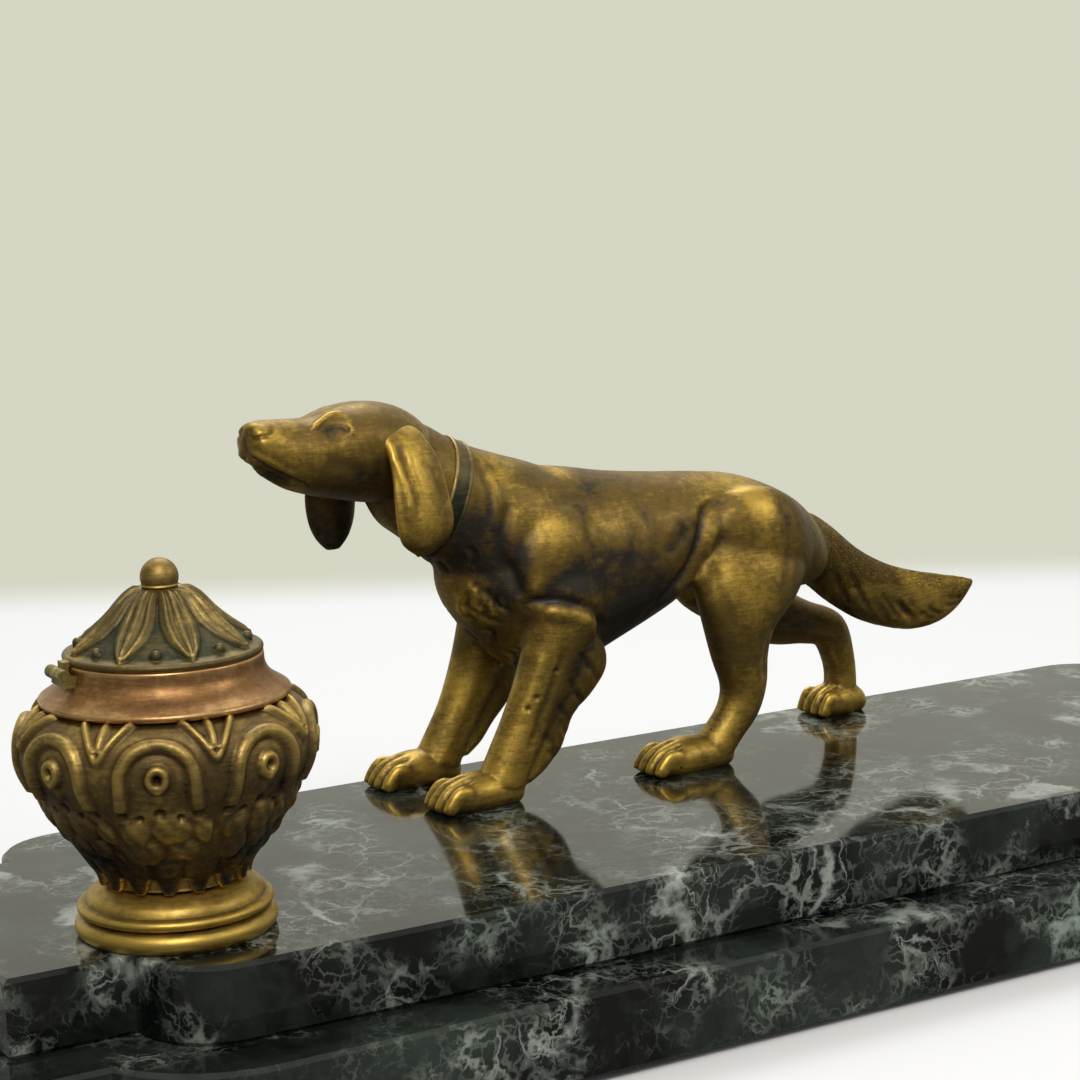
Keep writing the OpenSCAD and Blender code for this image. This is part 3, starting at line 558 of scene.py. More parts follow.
# ---- Urn collar ----
# A plain spun band of redder bronze, which flares out over the bowl to a rolled edge and has
# a step inside for the liner.
flare = curve_through([(19.3, 56), (19.7, 55.7), (19.75, 54.6), (19.9, 53.4), (20.4, 52.2), (21.3, 51), (22.6, 50),
                       (23.9, 49.2), (24.7, 48.6), (24.85, 48), (24.5, 47.5)], 3)
band_line = [(17.3, 56), *flare, (23, 47.45), (22.7, 46.95), (16.3, 46.95), (16.3, 52.2), (17.3, 52.2), (17.3, 56)]
urn_band = turned_piece("urn_band", band_line)
note_relief(urn_band, 14, 0.0004)
copper = bronze("band_bronze", (0.05, 0.026, 0.014), (0.28, 0.14, 0.05), (0.64, 0.39, 0.17), rub_and_light=0.46, grain=0.3,
                dulling=0.8)
urn_band.data.materials.append(copper)
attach(urn_band, "stand")
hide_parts("urn_collar")

# ---- Ink liner ----
# A pressed glass cup for the ink, which hangs by its flange on the step inside the band.
cup_line = [
    (0, 20.5), (13.6, 20.5), (14.6, 20.8), (15.3, 21.5), (15.6, 22.4), (15.6, 52.2), (16.9, 52.2), (16.95, 52.9),
    (16.6, 53.4), (13, 53.4), (13.4, 52.6), (13.8, 51), (13.8, 25), (13.2, 23.8), (11.4, 22.9), (0, 22.6)]
glass_cup = turned_piece("glass_cup", cup_line, 96)
glass, tree = new_material("liner_glass")
skin(tree, Base_Color=(0.86, 0.93, 0.9, 1), Roughness=0.04, Transmission_Weight=1.0, IOR=1.5,
     Normal=bumped(tree, noise(tree, own_place(tree), 120, 2), 0.25, 0.0004))
glass_cup.data.materials.append(glass)
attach(glass_cup, "stand")
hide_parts("ink_liner")

# ---- Urn lid ----
# A thin cast dome with a flat rim. Eight pointed leaves, each with a midrib and two side
# ribs, hang down it from the knob, with a bead in the verdigris between their tips.
lid_outer = curve_through([
    (19.3, 56), (19.65, 56.35), (19.7, 56.9), (19.35, 57.35), (18.6, 57.6), (17.6, 58.2), (16.3, 59.2), (14.5, 60.5),
    (12.3, 62.3), (10.4, 64.1), (8.9, 65.8), (7.5, 67.2), (5.6, 68.4), (3.6, 69.2)], 9)


def leaf_half(level):
    """Half the width of a leaf at that height, in mm."""
    return np.interp(level, [57.5, 58, 59.2, 61, 63.4, 65.8, 67.5, 69.3], [0.2, 0.9, 2.2, 3.5, 3.9, 3.3, 2.7, 1.9])


def lid_relief(turn, along, radius, level):
    side = np.abs(round_the_urn(turn, radius, 0.5))
    gap = np.abs(round_the_urn(turn, radius, 0))
    half = leaf_half(level)
    on_dome = ramp(level - 57.5, 0.5) * ramp(69.3 - level, 0.8)
    body = bump_over(side, half)
    push = -0.35 + 1.0 * body ** 0.7
    push += 0.3 * bump_over(side, 0.55) * (side < half) + 0.3 * bump_over(np.abs(side - half * 0.62), 0.55) * body
    push -= 0.25 * bump_over(np.abs(side - half * 0.33), 0.5) * body
    bead = bump_over(np.hypot(gap, (along - np.interp(58.9, lid_outer[:, 1], arc_of(lid_outer)))), 1.25)
    push = np.maximum(push, -0.35 + 1.25 * bead)
    return push * on_dome


lid_inner = [
    (1.2, 69.2), (1.2, 67.2), (5, 66.6), (8, 63.6), (11, 61), (14.2, 58.8), (15.4, 57.4), (15.35, 54.6), (16.9, 54.6),
    (16.95, 54.9), (16.95, 56)]
urn_dome = relief_shell("urn_dome", lid_outer, lid_inner, lid_relief, False)
note_relief(urn_dome, 10, 0.00034)
rise, from_axis, around = round_the_axis(urn_dome)
on_leaf = bump_over(np.abs(round_the_urn(around, from_axis, 0.5)), leaf_half(rise))
write_value(urn_dome, "RubAndLight", np.where(rise > 58, 0.14 + 0.36 * on_leaf ** 0.5, 0.42))
lid_bronze = bronze("lid_bronze", (0.035, 0.042, 0.024), (0.15, 0.108, 0.04), (0.5, 0.36, 0.11), grain=1.2)
urn_dome.data.materials.append(lid_bronze)
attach(urn_dome, "lid")
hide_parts("urn_lid")

# ---- Knob ----
# A turned ball with a collar under it and a spigot that is riveted through the dome.
seat_z, ball_r = 69.4, 3.8
ball_z = seat_z + ball_r * 0.5
knob_line = [(0, seat_z - 2.8), (1.2, seat_z - 2.8), (1.2, seat_z), (3.5, seat_z), (3.8, seat_z + 0.3),
             (3.6, seat_z + 0.6), *roll(0, ball_z, ball_r, ball_r, range(-20, 89, 9)), (0, ball_z + ball_r)]
urn_knob = turned_piece("urn_knob", knob_line, 64, 30)
note_relief(urn_knob, 8, 0.0006)
urn_knob.data.materials.append(bronze("knob_bronze", (0.06, 0.04, 0.015), (0.22, 0.14, 0.04), (0.52, 0.36, 0.1),
                                      rub_and_light=0.45))
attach(urn_knob, "lid")
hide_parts("urn_finial")

# ---- Hinge ----
# A small butt hinge at the left of the urn: a cast leaf with two knuckles on the band, one
# with a single knuckle on the lid, and a riveted pin through all three.
hinge_bronze = bronze("hinge_bronze", (0.06, 0.06, 0.03), (0.2, 0.15, 0.05), (0.5, 0.4, 0.15), rub_and_light=0.5, relief=0.5)
for name in ("hinge_collar_leaf", "hinge_lid_leaf", "hinge_pin"):
    solids[name].material_slots[0].material = hinge_bronze

# ---- Setter ----
# The dog is cast in sections that are pinned and chased together. Its forms are skinned
# through rings of points, in mm from the middle of the stand, and melted into one surface,
# because a living shape can't be turned or extruded. The sections are parted from it below.
dog_y = 0.0314
head_turn = math.radians(12)
neck_x = -68
toe_gap = 3.2
in_place = Matrix.Translation((0, dog_y, top_z)) @ Matrix.Scale(mm, 4)


def skinned(rings, steps=6, sides=40, grow=0):
    """A closed skin over rings: middle x, y, z, half height, half width, lean and egg shape."""
    rings = curve_through([list(r) + [0] * (7 - len(r)) for r in rings], steps)
    turn = 2 * math.pi * np.arange(sides) / sides
    up = (rings[:, 3:4] + grow) * np.sin(turn)
    out_by = (rings[:, 4:5] + grow) * np.cos(turn) * (1 + rings[:, 6:7] * np.sin(turn))
    lean_by = np.radians(rings[:, 5:6])
    spots = np.stack([rings[:, :1] - up * np.sin(lean_by), rings[:, 1:2] + out_by,
                      rings[:, 2:3] + up * np.cos(lean_by)], -1).reshape(-1, 3)
    at = np.arange(len(rings) * sides).reshape(-1, sides)
    after = np.roll(at, -1, 1)
    quads = np.stack([at[:-1], at[1:], after[1:], after[:-1]], -1).reshape(-1, 4).tolist()
    return spots, quads + [at[0].tolist(), at[-1][::-1].tolist()]


def ball(middle, radius):
    """A ball, or an egg where the radius is three half sizes."""
    half = np.ones(3) * radius
    rings = [[middle[0] + half[0] * math.sin(a), middle[1], middle[2], half[2] * math.cos(a),
              half[1] * math.cos(a)] for a in np.radians([-86, -60, -30, 0, 30, 60, 86])]
    return skinned(rings, 2, 20)


def turned_head(spots):
    """The points of the head after it has turned to the viewer on the neck."""
    c, s = math.cos(head_turn), math.sin(head_turn)
    spots = np.array(spots, float)
    x, y = spots[:, 0] - neck_x, spots[:, 1]
    return np.stack([x * c - y * s + neck_x, x * s + y * c, spots[:, 2]], 1)


def formed(name, forms):
    """One object from closed forms that still lie through each other."""
    spots, faces, start = [], [], 0
    for form_spots, form_faces in forms:
        spots.append(form_spots)
        faces += [[int(v) + start for v in f] for f in form_faces]
        start += len(form_spots)
    return new_piece(name, np.concatenate(spots), faces)


def melted(name, forms, voxel, rounds):
    """Joins closed forms into one skin of even squares, and softens it."""
    piece = modified(formed(name, forms), "REMESH", mode="VOXEL", voxel_size=voxel)
    return modified(piece, "SMOOTH", factor=0.5, iterations=rounds) if rounds else piece


def as_form(piece):
    """The skin of a melted piece as a form again, and the piece is thrown away."""
    spots = mesh_arrays(piece)[0]
    faces = [list(p.vertices) for p in piece.data.polygons]
    bpy.data.objects.remove(piece)
    return spots, faces


trunk = [
    [-59.5, 0, 53, 2, 3], [-56, 0, 52, 9, 8.5], [-48, 0, 52.5, 18, 13.5], [-39, 0, 52, 24.8, 16.6, 0, -0.05],
    [-28, 0, 51.6, 25, 17.6, 0, -0.05], [-14, 0, 53.2, 21, 17.4, 0, -0.05], [0, 0, 55.4, 17.2, 16.2],
    [12, 0, 58, 13.6, 14.2], [24, 0, 56, 14, 14.8], [35, 0, 53, 13, 14.8], [43, 0, 50, 11, 12], [49, 0, 47, 6, 7],
    [51, 0, 46.5, 2, 3]]
neck = [
    [-76, 0, 84, 10, 8.5, -14], [-69, 0, 78.6, 12.6, 9.6, -28], [-62, 0, 74, 13.2, 10.6, -35],
    [-53, 0, 69, 15, 12.6, -36], [-44, 0, 63, 18, 15, -35], [-33, 0, 56, 19, 15.8, -25]]
shoulder = [
    [-50, 9, 50, 3, 3], [-44, 11, 53, 12, 6.5], [-34, 12, 54, 15, 7.2], [-24, 11.5, 54, 11, 6], [-17, 10, 54, 3, 3]]
haunch = [
    [6, 7, 56, 3, 3], [13, 9.5, 56, 10, 6.4], [24, 10.5, 55, 13, 7.5], [35, 9.5, 52.5, 11.5, 6.8], [45, 6.5, 49, 3, 3]]
near, far = -13.8, 13.8
fore_near = [
    [-32, near + 1.5, 56, 10, 5.6, -102], [-33, near, 48, 10, 6.7, -105], [-35.4, near, 39, 8.8, 6.6, -112],
    [-39.5, near, 28, 7.6, 5.9, -117], [-45, near, 18, 6.3, 5.3, -118], [-49.5, near, 10, 5.9, 5.3, -115],
    [-52.5, near, 4, 6, 5.6, -105]]
fore_far = [
    [-32, far - 1.5, 56, 11, 5.6, -102], [-33.5, far, 48, 11, 6.8, -105], [-37.5, far, 39, 9.5, 6.5, -112],
    [-42.6, far, 27, 7.4, 5.8, -116], [-47.6, far, 16.8, 6.1, 5.2, -118], [-52.4, far, 9, 5.6, 5.2, -115],
    [-55, far, 4, 6, 5.6, -105]]
hind_near = [
    [21, near + 3, 55, 14, 6, -90], [20.5, near + 1, 47, 16.4, 6.9, -90], [19, near, 40, 14.2, 6.9, -90],
    [16.6, near, 33, 9.8, 6.4, -90], [16.6, near, 26, 7.7, 5.5, -86], [17.4, near, 19, 6.3, 5.1, -92],
    [15.6, near, 13, 5.6, 4.8, -108], [11.4, near, 8, 5, 4.8, -116], [7, near, 3.4, 5.4, 5.3, -120]]
hind_far = [
    [22, far - 3, 53, 13, 6, -76], [28, far - 1, 44, 14.5, 6.8, -62], [37, far, 35.6, 11, 6.4, -46],
    [47, far, 28.6, 8, 5.8, -28], [57, far, 25.6, 5.8, 4.8, -12], [64.4, far, 22.6, 5.4, 4.6, -48],
    [67.4, far, 15, 4.6, 4.4, -84], [68.2, far, 8.6, 4.4, 4.4, -92], [67.4, far, 3.4, 5, 4.8, -100]]
tail = [
    [40, 0, 50, 8, 6.5], [47, 0, 48.5, 9.6, 6], [54, 0, 43.8, 10.4, 5.2], [63, 0, 37.5, 9.6, 4.6],
    [72, 0, 33.4, 8.8, 4.2], [81, 0, 31, 8.2, 3.8], [90, 0, 30.4, 6.8, 3], [97, 0, 31.4, 4.4, 2],
    [102.5, 0, 33.6, 1, 0.8]]
forms = [skinned(f) for f in (trunk, neck, fore_near, fore_far, hind_near, hind_far, tail)]
for side in (-1, 1):
    for muscle in (shoulder, haunch):
        forms.append(skinned([[r[0], side * r[1]] + r[2:] for r in muscle]))
big_forms = as_form(melted("dog_big_forms", forms, 0.8, 8))

# The head is finer: muzzle, skull, brows, closed eyes and nose pad.
head = [skinned([[-112, 0, 88.8, 2.4, 2.8, 8], [-110.8, 0, 88.5, 5.4, 5, 8, 0.1], [-107, 0, 87.6, 6.9, 6.2, 5],
                 [-101.6, 0, 86.2, 8, 7, 0, -0.08], [-95.8, 0, 85.2, 8.9, 8.2, 0, -0.05],
                 [-89.5, 0, 85.2, 10.4, 10, 0, 0.05], [-81, 0, 84.7, 11.7, 11.4, 0, 0.08],
                 [-73, 0, 83.6, 11.2, 10.8, -8, 0.05], [-67, 0, 81.6, 9, 8.7, -20], [-64, 0, 80.4, 5, 5, -20]])]
for side in (-1, 1):
    back = 4 if side > 0 else 0
    brow = curve_through([[-97, 5, 92.3], [-91.6, 4.3, 94.6], [-88.4, 5.8, 93.9], [-89.4, 8.6, 90.5]], 6)
    head += [ball((x + back, side * y, z), 0.8) for x, y, z in brow]
    head.append(ball((-92.6 + back / 2, side * 6, 90.4), (2.4, 1.3, 1.4)))
    head.append(ball((-109.5, side * 1.9, 91.9), 1.9))
head.append(ball((-109.4, 0, 92.1), (2.4, 2.3, 2.3)))
head = [(turned_head(spots), faces) for spots, faces in head]
head_form = as_form(melted("dog_head_form", head, 0.4, 5))


def paw(x, y, length):
    """A paw with four toes, each with its knuckle and claw, flat under its sole."""
    pad = [[-0.42, 2.6, 1.8, 4], [-0.3, 3, 3.8, 5.9], [-0.05, 3.4, 4.9, 6], [0.22, 3.4, 4.5, 5.2],
           [0.42, 2.8, 3.4, 4.2], [0.5, 2.4, 1.4, 2.2]]
    made = [skinned([[x + length * share, y, z, tall, wide] for share, z, tall, wide in pad])]
    for k in (-1.5, -0.5, 0.5, 1.5):
        tip = x + 2 - length * (0.5 - 0.025 * abs(k))
        heel = x - length * 0.2
        for t in np.linspace(0, 1, 9):
            lift = 2 + 2.4 * t + 1.3 * math.sin(math.pi * t)
            made.append(ball((tip + (heel - tip) * t, y + k * toe_gap, lift), (1.9, 1.5 + 0.1 * t, 2 + 0.2 * t)))
        made.append(ball((tip - 1.3, y + k * toe_gap, 1.5), (1.2, 0.7, 0.9)))
    return made


paw_places = ((-59, near, 24), (-61, far, 24), (0, near, 26), (66, far, 18))
small_forms = [form for x, y, length in paw_places for form in paw(x, y, length)]
# Feathering hangs along the back of each foreleg as a flat fringe with two soft swells.
feather = {
    near: [
        [-29, near, 40, 3, 3.4, -105], [-30, near, 36, 7, 4.4, -105], [-30.5, near, 31, 7.8, 4.6, -108],
        [-33.5, near, 26, 7, 4.4, -112], [-37.5, near, 21, 5.6, 4.2, -115], [-39.6, near, 16.5, 5.7, 4, -115],
        [-41.4, near, 12.5, 5.3, 4, -115], [-45, near, 8, 4.4, 4, -115], [-48, near, 4.6, 3, 3.4, -110]],
    far: [
        [-36, far, 36, 3, 3.4, -105], [-37, far, 31, 6, 4.4, -108], [-38, far, 25, 5.9, 4.4, -112],
        [-39.4, far, 20, 5.4, 4.2, -115], [-43.4, far, 14.5, 4.6, 4, -115], [-46.6, far, 10, 4.3, 4, -115],
        [-49.6, far, 6, 3, 3.4, -110]]}
small_forms += [skinned(fringe) for fringe in feather.values()]
small_form = as_form(melted("dog_small_forms", small_forms, 0.4, 3))
dog = melted("dog_whole", [big_forms, head_form, small_form], 0.42, 2)


# Chasing: lines, hollows and tufts that the finisher cut into the wax and the metal. Each
# follows a few points on the surface, in mm.
def chase(piece, marks):
    """Cuts a groove along each path, or raises a ridge where its depth is negative."""
    spots, normals, edges = mesh_arrays(piece)
    moved = spots.copy()
    for path, width, depth in marks:
        line = curve_through(path, 5) if len(path) > 1 else np.array(path, float)
        low_corner, high_corner = line.min(0) - 5, line.max(0) + 5
        close = np.nonzero(((spots > low_corner) & (spots < high_corner)).all(1))[0]
        if not len(close):
            continue
        line = np.array([spots[close[np.argmin(((spots[close] - p) ** 2).sum(1))]] for p in line])
        best = np.full(len(close), 1e9)
        share = np.full(len(close), 0.5)
        for i, (p, q) in enumerate(zip(line, line[1:] if len(line) > 1 else line)):
            run = q - p
            t = np.clip(((spots[close] - p) @ run) / max(run @ run, 1e-9), 0, 1)
            away = np.linalg.norm(spots[close] - p - t[:, None] * run, axis=1)
            share = np.where(away < best, (i + t) / max(len(line) - 1, 1), share)
            best = np.minimum(best, away)
        ends = np.clip(np.minimum(share, 1 - share) * 5, 0.2, 1) if len(path) > 1 else 1
        moved[close] -= normals[close] * (depth * np.exp(-(best / width) ** 2) * ends)[:, None]
    moved = relaxed(moved, edges, 1)
    piece.data.vertices.foreach_set("co", moved.astype(np.float32).ravel())
    piece.data.update()


def both_sides(marks):
    return marks + [([[x, -y, z] for x, y, z in path], width, depth) for path, width, depth in marks]


body_marks = both_sides([
    ([[14.2, -14, 67], [9, -15, 65.8], [5.6, -15.4, 61], [3.4, -15.2, 56], [0.6, -14.5, 51], [-4, -13, 46.5],
      [-11, -10, 42]], 1.5, 1.3),
    ([[12.5, -15, 61], [8.6, -16, 57], [6, -16, 51], [1, -14, 45], [-5, -12, 41.5]], 2, -0.9),
    ([[1, -16, 61], [-2.4, -16, 57.6], [-7.1, -16, 54.5]], 2, 0.5),
    ([[-47.6, -16, 42], [-46.4, -19, 46], [-40.6, -19, 47.6], [-34.5, -19, 46.4], [-28, -18.5, 43.4],
      [-24.4, -18, 39.4], [-24, -16, 35]], 1.3, 0.9),
    ([[-45.6, -19, 42.4], [-40.6, -19, 44.6], [-34.5, -19, 43.4], [-29.4, -19, 40.4], [-26.6, -18, 37]], 1.7, -0.6),
    ([[-46, -11, 71], [-50.5, -14, 62], [-49, -16, 53], [-44.5, -16.5, 47]], 1.9, 1.0),
    ([[-26, -13, 70], [-28, -17, 62], [-26, -17.5, 54]], 2, 0.6),
    ([[-18, -16, 68], [-15.6, -17.4, 60], [-18, -17, 51]], 1.8, 0.35),
    ([[-11, -15, 68], [-8.6, -17, 60], [-11, -16.5, 52]], 1.8, 0.35),
    ([[-53.5, -5, 80], [-51.5, -10, 74], [-52.4, -12.6, 66]], 1.2, 0.5),
    ([[-50, -5, 78.5], [-47.6, -10, 73], [-48, -13, 66]], 1.4, 0.35),
    ([[27, -13, 66], [29.5, -16, 58], [28, -17, 48], [24, -18, 41]], 1.8, 0.5),
    ([[8, -16.5, 50], [9.5, -18.5, 42], [12.5, -18.5, 33]], 1.5, 0.4),
    ([[24.5, -18, 36], [22, -19, 28], [21.5, -18.6, 20]], 1.3, 0.5),
    ([[-43, -19.4, 36], [-46.4, -19, 28], [-50.4, -18.6, 19]], 1.6, -0.35),
    ([[-37, -19.4, 37], [-40.4, -19.4, 28], [-44.6, -19, 19], [-47.6, -18.8, 12]], 1.3, 0.55)])
chest = np.random.RandomState(5)
for _ in range(34):
    down = chest.uniform(0, 1)
    across = chest.uniform(-12, 12)
    x, z = -63 + 20 * down ** 1.25 + abs(across) * 0.55, 62 - 33 * down
    sway = chest.uniform(-2.2, 2.2)
    path = [[x, across, z], [x + 0.8, across * 1.03 + sway, z - 2.6], [x + 2.2, across * 1.05 - sway, z - 5.4]]
    body_marks.append((path, chest.uniform(0.7, 1.1), 0.5))
    body_marks.append(([[p[0], p[1] + 1.6, p[2]] for p in path], 1.1, -0.3))
for y, side in ((near, -1), (far, 1)):
    for x, z in ((-34, 35), (-31, 31.5), (-37, 28.5), (-34.4, 25), (-39.6, 23), (-38.4, 18.4), (-43.4, 16.4),
                 (-42, 12.5)):
        x += 0 if side < 0 else -5
        body_marks.append(([[x, y + side * 4.4, z], [x + 2.6, y + side * 4, z - 2.6],
                            [x + 5.4, y + side * 3.4, z - 6.4]], 0.85, 0.36))
tail_x = [47, 54, 63, 72, 81, 90, 97, 102]
for _ in range(22):
    x, share = chest.uniform(50, 92), chest.uniform(-0.1, 0.35)
    run = [x, x + 3.4, x + 6.4]
    middle = np.interp(run, tail_x, [48.5, 43.8, 37.5, 33.4, 31, 30.4, 31.4, 33.6])
    tall = np.interp(run, tail_x, [9.6, 10.4, 9.6, 8.8, 8.2, 6.8, 4.4, 1])
    for side in (-1, 1):
        path = [[run[k], side * 4, middle[k] - tall[k] * (share + 0.3 * k)] for k in range(3)]
        body_marks.append((path, 0.7, 0.32))
for x, y, length in paw_places:
    for k in (-1, 0, 1):
        path = [[x - length * share, y + k * toe_gap, z] for share, z in ((0.1, 8), (0.3, 6.4), (0.42, 3.4))]
        body_marks.append((path, 0.6, 0.8))
for x, z, side in ((-39.7, 31, near), (-45.1, 25, near), (-47.3, 22.9, near), (-45, 27, far)):
    body_marks.append(([[x, side * 1.4, z]], 0.55, 0.7))
head_marks = both_sides([
    ([[-95.8, -6.4, 91.6], [-93, -6.8, 92.5], [-90.5, -7.6, 91.7], [-89.8, -8.7, 89.8]], 0.7, 0.45),
    ([[-95.6, -7, 90.4], [-92.6, -7.6, 90.8], [-90.4, -8.4, 90]], 1.7, 0.35),
    ([[-94.6, -7.6, 89.6], [-92.4, -8.2, 89.2], [-90.4, -8.7, 89.4]], 0.4, 0.2),
    ([[-112.6, -0.6, 86.9], [-110.6, -3.4, 85.2], [-107.4, -4.8, 82.4], [-102.6, -5.6, 79.6],
      [-98, -5.6, 77.8]], 0.6, 0.8),
    ([[-111.8, -0.8, 84.4], [-109.6, -2.6, 82.6], [-106.6, -3.4, 80.6], [-103, -3.6, 78.6]], 1.5, 1.0),
    ([[-111.8, -2, 88], [-110, -4.2, 86.5], [-107, -5.6, 83.8], [-102.4, -6.4, 81]], 0.7, -0.45),
    ([[-112, -1.7, 92.6]], 0.5, 0.5),
    ([[-112.4, -1, 91.4], [-111, -3.2, 90.9], [-108.6, -4, 91.4], [-107.2, -3.4, 93]], 0.55, 0.5),
    ([[-97, -8.4, 84.6], [-91, -10, 82.6], [-86, -11, 79]], 1.8, 0.4),
    ([[-84.5, -10.6, 90], [-83.4, -11.6, 82], [-84, -10.6, 75]], 1.3, 0.25)])
head_marks += [([[-113, 0, 91], [-112.8, 0, 87.4]], 0.4, 0.3), ([[-97, 0, 95], [-88, 0, 96.4], [-80, 0, 97]], 1.6, 0.4)]
for path, width, depth in head_marks:
    body_marks.append((turned_head(path), width, depth))
chase(dog, body_marks)
note_relief(dog, 26, 0.55)

# How far the patina is rubbed off, mixed with painted light and shade: legs, feet and face are
# golden, and the shoulder, ribs and belly stay dark, with worn spots on the shoulder blade, the
# back, the ribs and the hip. The bright spots on the shoulder, ribs and hip are partly painted
# highlights, and the dark under the jaw, on the throat and on the belly is partly painted shade.
spots = mesh_arrays(dog)[0]
rub_and_light = np.full(len(spots), 0.36)
for x, z, wide, tall, amount in (
        (-38, 63, 4, 5, 0.5), (-43.8, 51.7, 2.6, 4, 0.5), (-19, 62.5, 4, 6, 0.3), (-25, 64, 3, 3, 0.2),
        (22.4, 63.5, 4, 5, 0.5), (17, 69, 11, 2.4, 0.35), (-28.7, 75.5, 5, 3, 0.35), (-46.3, 76.5, 4.4, 3.6, 0.3),
        (-54.5, 62, 5, 6, -0.75), (-48, 54.5, 4.6, 6, -0.8), (-35.5, 49.6, 9, 2.8, -0.5), (-18.4, 55, 9, 4, -0.42),
        (-29.6, 52.5, 6, 4, -0.6), (-12, 46, 9, 6, -0.5), (-12, 38, 16, 7, -0.5), (-21.7, 73, 8, 3, -0.3),
        (2, 58, 4, 6, -0.26), (17, 45, 11, 11, 0.3), (7, 27, 4, 9, -0.22), (17, 16, 7, 8, 0.25),
        (-34.3, 30, 3, 5, -0.22), (-40, 23.4, 3, 4, -0.2), (-43, 35, 5, 9, 0.28), (-49, 22, 5, 10, 0.3),
        (-57, 7, 14, 7, 0.3), (0, 5, 14, 7, 0.3), (66, 7, 12, 8, 0.3), (-35, 41, 8, 4, 0.3), (-50, 36, 6, 6, -0.2),
        (-98, 88, 14, 9, 0.16), (-84, 77, 9, 5, -0.25), (-90.8, 90.6, 3.4, 2.2, -0.34), (-106, 87, 4, 3, 0.2),
        (-107.5, 81, 4.4, 2.6, -0.6), (-57, 46, 6, 8, 0.22), (76, 36, 24, 12, 0.16), (62, 45, 16, 5, -0.12),
        (88, 30, 12, 6, 0.12), (50, 28, 14, 6, -0.36), (36, 50, 8, 12, -0.1)):
    rub_and_light += amount * np.exp(-((spots[:, 0] - x) / wide) ** 2 - ((spots[:, 2] - z) / tall) ** 2)
write_value(dog, "RubAndLight", rub_and_light)

dog_bronze = bronze("dog_bronze", (0.045, 0.038, 0.032), (0.18, 0.115, 0.028), (0.56, 0.365, 0.065))
dog.data.materials.append(dog_bronze)


# The castings meet in thin joints: round the top of each leg, at the root of the tail, and
# the neck and head are one with the body. Each is parted by a form a little larger than it.
def parted(name, cutters, way):
    piece = dog.copy()
    piece.data = dog.data.copy()
    piece.name = name
    bpy.context.scene.collection.objects.link(piece)
    for cutter in cutters:
        modified(piece, "BOOLEAN", operation=way, solver="MANIFOLD", object=cutter)
    return piece


def limb_cutter(rings, paw_place):
    x, y, length = paw_place
    around = [skinned(rings[2:], grow=2.6)]
    if rings in (fore_near, fore_far):
        around.append(ball((rings[2][0], y, 36.5), (11, 9.4, 10.6)))
        around.append(skinned(feather[y], grow=1.8))
    around.append(skinned([[x - length * 0.5 - 3, y, 4, 9, 9.4], [x + length * 0.5 + 3, y, 4, 9, 9.4]], 1))
    return melted("limb_cutter", around, 0.9, 0)


legs = {"dog_foreleg_near": fore_near, "dog_foreleg_far": fore_far, "dog_hindleg_near": hind_near,
        "dog_hindleg_far": hind_far}
cutters = {name: limb_cutter(rings, place) for (name, rings), place in zip(legs.items(), paw_places)}
cutters["dog_tail"] = formed("tail_cutter", [skinned([[47.5, 0, 46, 22, 7.5], [110, 0, 46, 22, 7.5]], 1, 4)])
castings = {name: parted(name + "_casting", [cutter], "INTERSECT") for name, cutter in cutters.items()}
# The body is the largest casting, and its net is thinned to what its file can hold.
castings["dog_body"] = modified(parted("dog_body_casting", cutters.values(), "DIFFERENCE"), "DECIMATE", ratio=0.57)
for cutter in cutters.values():
    bpy.data.objects.remove(cutter)

# The chased skin runs on across each joint, so every casting takes its shading and its patina
# from the nearest point of the whole dog.
stored = read(dog.data.attributes["Relief"].data, "value", 1)
skin_normals = mesh_arrays(dog)[1]
close_to = KDTree(len(stored))
for i, vertex in enumerate(dog.data.vertices):
    close_to.insert(vertex.co, i)
close_to.balance()
for name, piece in castings.items():
    mesh = piece.data
    nearest = np.array([close_to.find(vertex.co)[1] for vertex in mesh.vertices])
    write_value(piece, "Relief", stored[nearest])
    write_value(piece, "RubAndLight", rub_and_light[nearest])
    mesh.transform(in_place)
    smooth(piece)
    flat = np.repeat(read(mesh.polygons, "normal", 3), read(mesh.polygons, "loop_total", 1, np.int32), axis=0)
    chased = skin_normals[nearest[read(mesh.loops, "vertex_index", 1, np.int32)]]
    on_skin = (flat * chased).sum(1) > 0.4
    mesh.normals_split_custom_set(np.where(on_skin[:, None], chased, flat).tolist())
    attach(piece, "stand")
    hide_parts(name)

# ---- Dog's collar ----
# A cast band with a rim along each edge, in dark green-brown patina, that lies close round
# the middle of the neck. Its outline is felt out on the neck from the inside.
select_only(dog)
skin_tree = BVHTree.FromObject(dog, bpy.context.evaluated_depsgraph_get())
collar_spot = Vector((-60.5, 0, 70))
lean_by = math.radians(22)
across, along = Vector((0, 1, 0)), Vector((math.cos(lean_by), 0, -math.sin(lean_by)))
upwards = Vector((math.sin(lean_by), 0, math.cos(lean_by)))
profile = [(-2.2, -0.4), (-2.25, 0.35), (-2, 0.6), (-1.6, 0.6), (-1.35, 0.35), (0, 0.42), (1.35, 0.35), (1.6, 0.6),
           (2, 0.6), (2.25, 0.35), (2.2, -0.4)]
sides = 160
spots = []
for k in range(sides):
    turn = 2 * math.pi * k / sides
    outward = across * math.cos(turn) + upwards * math.sin(turn)
    for share, lift in profile:
        start = collar_spot + along * share
        hit = skin_tree.ray_cast(start + outward * 40, -outward)[0]
        spots.append(hit + outward * lift)
rings = np.arange(len(spots)).reshape(sides, -1)
dog_collar = new_piece("dog_collar_band", spots, net_faces(np.vstack([rings, rings[:1]])))
select_only(dog_collar)
bpy.ops.object.mode_set(mode="EDIT")
bpy.ops.mesh.select_all(action="SELECT")
bpy.ops.mesh.normals_make_consistent(inside=False)
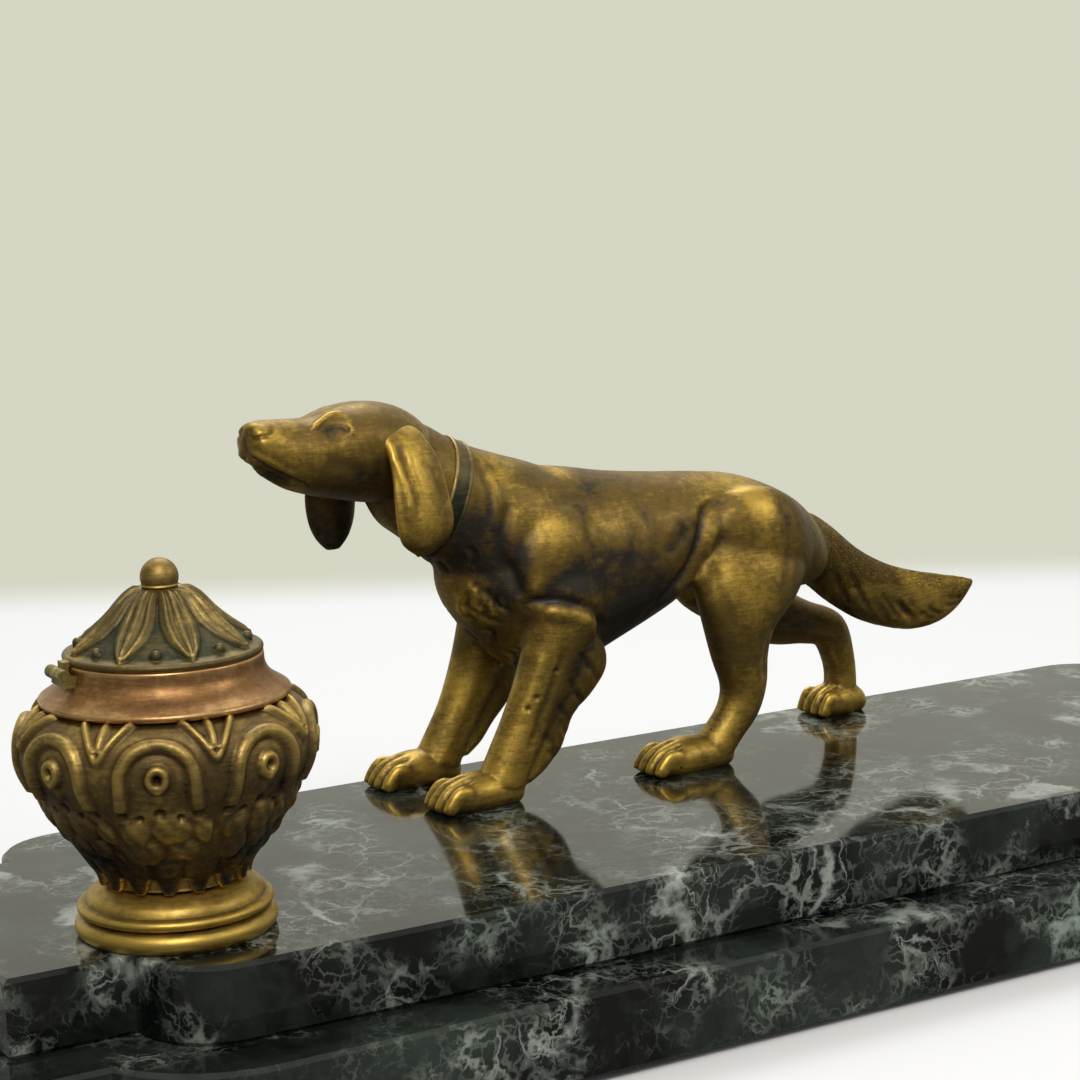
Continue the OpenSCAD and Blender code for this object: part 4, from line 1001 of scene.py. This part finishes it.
bpy.ops.object.mode_set(mode="OBJECT")
bpy.ops.object.shade_smooth_by_angle(angle=math.radians(40))
note_relief(dog_collar, 2, 0.25)
# The band is painted lighter towards its top and darker towards the throat: painted light from above and painted shade
# beneath.
heights = mesh_arrays(dog_collar)[0][:, 2]
write_value(dog_collar, "RubAndLight", np.interp(heights, [66, 75, 81], [0.1, 0.26, 0.62]))
dog_collar.data.materials.append(bronze("collar_bronze", (0.02, 0.026, 0.02), (0.12, 0.09, 0.04), (0.36, 0.26, 0.1)))
dog_collar.data.transform(in_place)
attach(dog_collar, "stand")
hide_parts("dog_collar")

# ---- Ears ----
# Each ear is a flap cast apart and pinned on. A narrow fold runs down its front edge, and the
# leather swells towards its round tip.
ear = [
    [-77.4, 6.4, 91.4, 1.4, 0.8, -90], [-76.6, 8.2, 90.2, 4.2, 1.3, -90], [-76.1, 10.2, 87.8, 5.9, 1.8, -90],
    [-75.3, 13.3, 82, 7, 1.9, -90], [-75.3, 15.3, 75, 7.8, 2.2, -90], [-74.9, 16, 68.5, 8.1, 2.6, -90],
    [-75, 15.8, 64.2, 6.5, 2.3, -90], [-75.2, 15.4, 61.3, 2.4, 1, -90]]
fold = [[-81, 11.4, 88], [-81, 13.8, 82], [-80.3, 16, 76], [-80.2, 17.2, 70]]
ear_marks = [(fold, 0.9, -0.6), ([[x + 2.3, y + 0.8, z] for x, y, z in fold], 1.1, 0.55),
             ([[-73.4, 14.6, 84], [-71, 16.2, 77], [-69.6, 17, 71]], 1.6, 0.4)]
for name, side, shift in (("dog_ear_near", -1, (0, 0, 0.4)), ("dog_ear_far", 1, (-2.5, 0, -1.3))):
    rings = [[r[0] + shift[0], side * r[1], r[2] + shift[2]] + r[3:] for r in ear]
    if side > 0:  # the far ear ends in a narrower tip
        rings[4][3], rings[5][3], rings[6][3], rings[7][3] = 7.4, 6.6, 4.6, 1.8
    spots, faces = skinned(rings, 8)
    flap = melted(name + "_flap", [(turned_head(spots), faces)], 0.35, 3)
    chase(flap, [(turned_head(np.array(path) * (1, side, 1) + shift), width, depth)
                 for path, width, depth in ear_marks])
    note_relief(flap, 16, 0.35)
    spots = mesh_arrays(flap)[0]
    # The far ear gets a far lower rub than the near one: painted shade. Each ear also darkens towards its lower end.
    write_value(flap, "RubAndLight", (0.64 if side < 0 else 0.2) - 0.66 * np.exp(-((spots[:, 2] - 60) / 5) ** 2)
                + 0.12 * np.sin(spots[:, 0] * 0.6 + 1))
    flap.data.materials.append(dog_bronze)
    smooth(flap)
    flap.data.transform(in_place)
    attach(flap, "stand")
    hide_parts(name)
bpy.data.objects.remove(dog)
